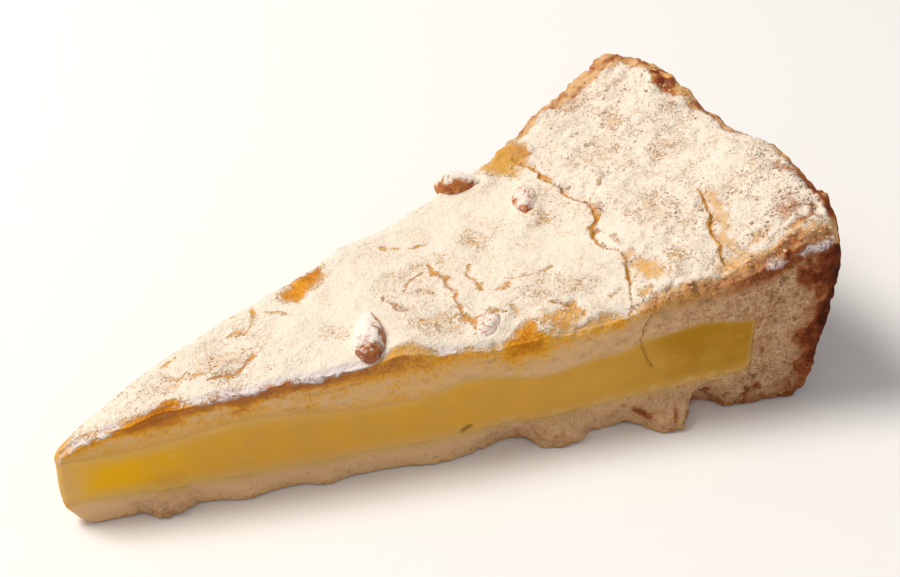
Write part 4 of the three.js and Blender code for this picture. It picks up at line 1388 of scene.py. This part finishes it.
# %% Custard
# The ramp runs from the thin tip, painted as lit through, to the deep end, which carries painted shade by the
# wall.
GEL = [(0.0, "#eeb406"), (1.0, "#b6820f"), (0.45, "#dda642"), (0.75, "#cf9c38")]  # from thin to deep
DRIED, GEL_FLECK, GEL_GAP_SHADE = "#dfb166", "#ecd08a", "#8a6420"
GLOW_DEPTH = 0.0016  # how far light goes into the gel, m


def lemon_custard(name):
    finish = Finish(name)
    clouded = finish.scaled(finish.noise(6, 2.0), 0.5, -0.25)
    gel = finish.ramp(finish.scaled(finish.number("deep"), 1.0, clouded, clamp=True), *GEL)
    grain = finish.noise(1.2, 3.0)
    gel = finish.blend(finish.fade(grain, 0.68, 0.78, high=0.35), gel, GEL_FLECK)
    gel = finish.blend(finish.number("dry"), gel, DRIED)
    # Painted shade in the flake's hollow and in the hairline crack.
    gel = finish.blend(finish.number("dark"), gel, GEL_GAP_SHADE)
    relief = finish.relief(grain, 0.12, 0.5)
    return finish.surface({
        "Base Color": gel, "Normal": relief, "Roughness": 0.5, "IOR": 1.38, "Specular IOR Level": 0.2,
        "Subsurface Weight": 0.35, "Subsurface Radius": (1.0, 0.7, 0.2), "Subsurface Scale": GLOW_DEPTH,
    })


set_lemon_custard = lemon_custard("set_lemon_custard")

# %% [markdown]
# ## Material: toasted pine nuts
# A shelled pine nut is ivory and oily, and roasts to a red-brown that is darkest at its point. The oil
# gives it a satin shine where no sugar lies.

# %% Pine nut
TOASTED = [(0.0, "#e2984f"), (1.0, "#7f3a18"), (0.5, "#bb6e30")]


def toasted_pine_nut(name):
    finish = Finish(name)
    streaks = finish.noise(1.1, 4.0, 0.6)
    tone = finish.scaled(finish.number("toast"), 0.35, finish.scaled(streaks, 1.6, -0.8))
    skin = finish.ramp(finish.scaled(tone, 1.0, 0.4, clamp=True), *TOASTED)
    colour, height, cover = under_sugar(finish, skin, streaks)
    relief = finish.relief(height, 0.3, 0.7)
    shine = finish.fade(cover, 0.0, 1.0, 0.45, 0.9)
    return finish.surface(
        {"Base Color": colour, "Normal": relief, "Roughness": shine, "IOR": 1.47, "Specular IOR Level": 0.4}
    )


toasted_nut = toasted_pine_nut("toasted_pine_nut")

# %% [markdown]
# ## Every piece on its body
# The slice has no joint, so all of it rides on the one body, root. Each layer stands for its solid, which
# is hidden. Crumbs and sugar lumps belong to the crust they lie on.

# %% Finish, body and solid of each piece
WHAT_IT_IS = [  # piece, material, slot, the solid it stands for
    (lid, icing_sugared_shortcrust, "sugared_crust", "shortcrust_lid"),
    (case, baked_shortcrust, "crust", "shortcrust_case"),
    (custard, set_lemon_custard, "custard", "lemon_custard"),
    (lid_crumbs, icing_sugared_shortcrust, "sugared_crust", None),
    (sugar_lumps, icing_sugared_shortcrust, "sugared_crust", None),
    (cut_crumbs, baked_shortcrust, "crust", None),
]
WHAT_IT_IS += [(piece, toasted_nut, "pine_nut", node) for node, piece in nuts.items()]
for piece, material, slot, node in WHAT_IT_IS:
    piece.data.materials.append(material)
    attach(piece, "root")
    if node:
        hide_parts(node)
print(len(WHAT_IT_IS), "pieces ride on the root")

# %% [markdown]
# ## Floor, light and camera
# A pale floor and a big soft lamp behind and to the left, as a window would be, leave the near cut in
# soft shade, lit by the floor and the sky. That is the light that shows sugar, crumb and custard best.

# %% Floor
FLOOR_HALF_WIDTH = 2.0  # m
FLOOR_DROP = 0.0002  # just under the slice, so that the two never lie in one plane


def plain_floor():
    half = FLOOR_HALF_WIDTH
    mesh = bpy.data.meshes.new("floor")
    corners = [(-half, -half, 0), (half, -half, 0), (half, half, 0), (-half, half, 0)]
    mesh.from_pydata(corners, [], [(0, 1, 2, 3)])
    floor = bpy.data.objects.new("floor", mesh)
    bpy.context.scene.collection.objects.link(floor)
    board = Finish("matt_white_board")
    look = {"Base Color": "#f4f3f1", "Roughness": 0.9, "Specular IOR Level": 0.1}
    mesh.materials.append(board.surface(look))
    floor.location.z = -FLOOR_DROP


plain_floor()

# %% [markdown]
# ## Light
# Two lamps do: a half-metre one for the window, and a wide, weak and cooler one for the room behind the
# camera. A pale sky fills the rest, so that no shadow is black.

# %% Lamps and sky
def soft_lamp(name, direction, distance, size, watts, hex_colour):
    """A square lamp that faces the slice from a direction."""
    lamp = bpy.data.lights.new(name, "AREA")
    lamp.size, lamp.energy, lamp.color = size, watts, linear(hex_colour)[:3]
    holder = bpy.data.objects.new(name, lamp)
    bpy.context.scene.collection.objects.link(holder)
    towards = Vector(direction).normalized()
    holder.location = towards * distance
    holder.rotation_euler = towards.to_track_quat("Z", "Y").to_euler()


soft_lamp("window", (-0.42, 0.36, 0.83), 1.2, 0.5, 13.2, "#fff9f1")
soft_lamp("fill", (-0.5, -0.8, 0.5), 1.6, 1.2, 1.2, "#e9ebff")

world = bpy.data.worlds.new("pale_room")
bpy.context.scene.world = world
world.use_nodes = True
background = world.node_tree.nodes["Background"]
background.inputs["Color"].default_value = linear("#f6f5f4")
background.inputs["Strength"].default_value = 0.42
bpy.context.scene.view_settings.view_transform = "Standard"
print(len(bpy.data.lights), "lamps")

# %% [markdown]
# ## Camera
# The angle, the distance and the lens were solved together with the wedge's angle from the outline of
# the slice in the photograph. The camera looks at a point inside the slice.

# %% Camera at the photograph's angle
AZIMUTH, ELEVATION = math.radians(-30.435), math.radians(34.563)
AIM = Vector((5.438, 0.524, 20.096)) / 1000
DISTANCE = 0.286977
back = Vector(
    (math.sin(AZIMUTH) * math.cos(ELEVATION), -math.cos(AZIMUTH) * math.cos(ELEVATION), math.sin(ELEVATION))
)
lens = bpy.data.cameras.new("camera")
lens.lens, lens.sensor_width = 68, 36
lens.clip_start, lens.clip_end = 0.02, 20
camera = bpy.data.objects.new("camera", lens)
bpy.context.scene.collection.objects.link(camera)
camera.location = AIM + back * DISTANCE
camera.rotation_euler = back.to_track_quat("Z", "Y").to_euler()
bpy.context.scene.camera = camera
print("camera", round(DISTANCE * 1000), "mm away")

# %% [markdown]
# ## Size
# The finished slice has to lie inside the frame's box, so every piece is clipped to it, and the frame's box
# is printed.

# %% The frame's box
print("frame box", [round(v * 1000, 2) for v in (*cad_low, *cad_high)], "mm")
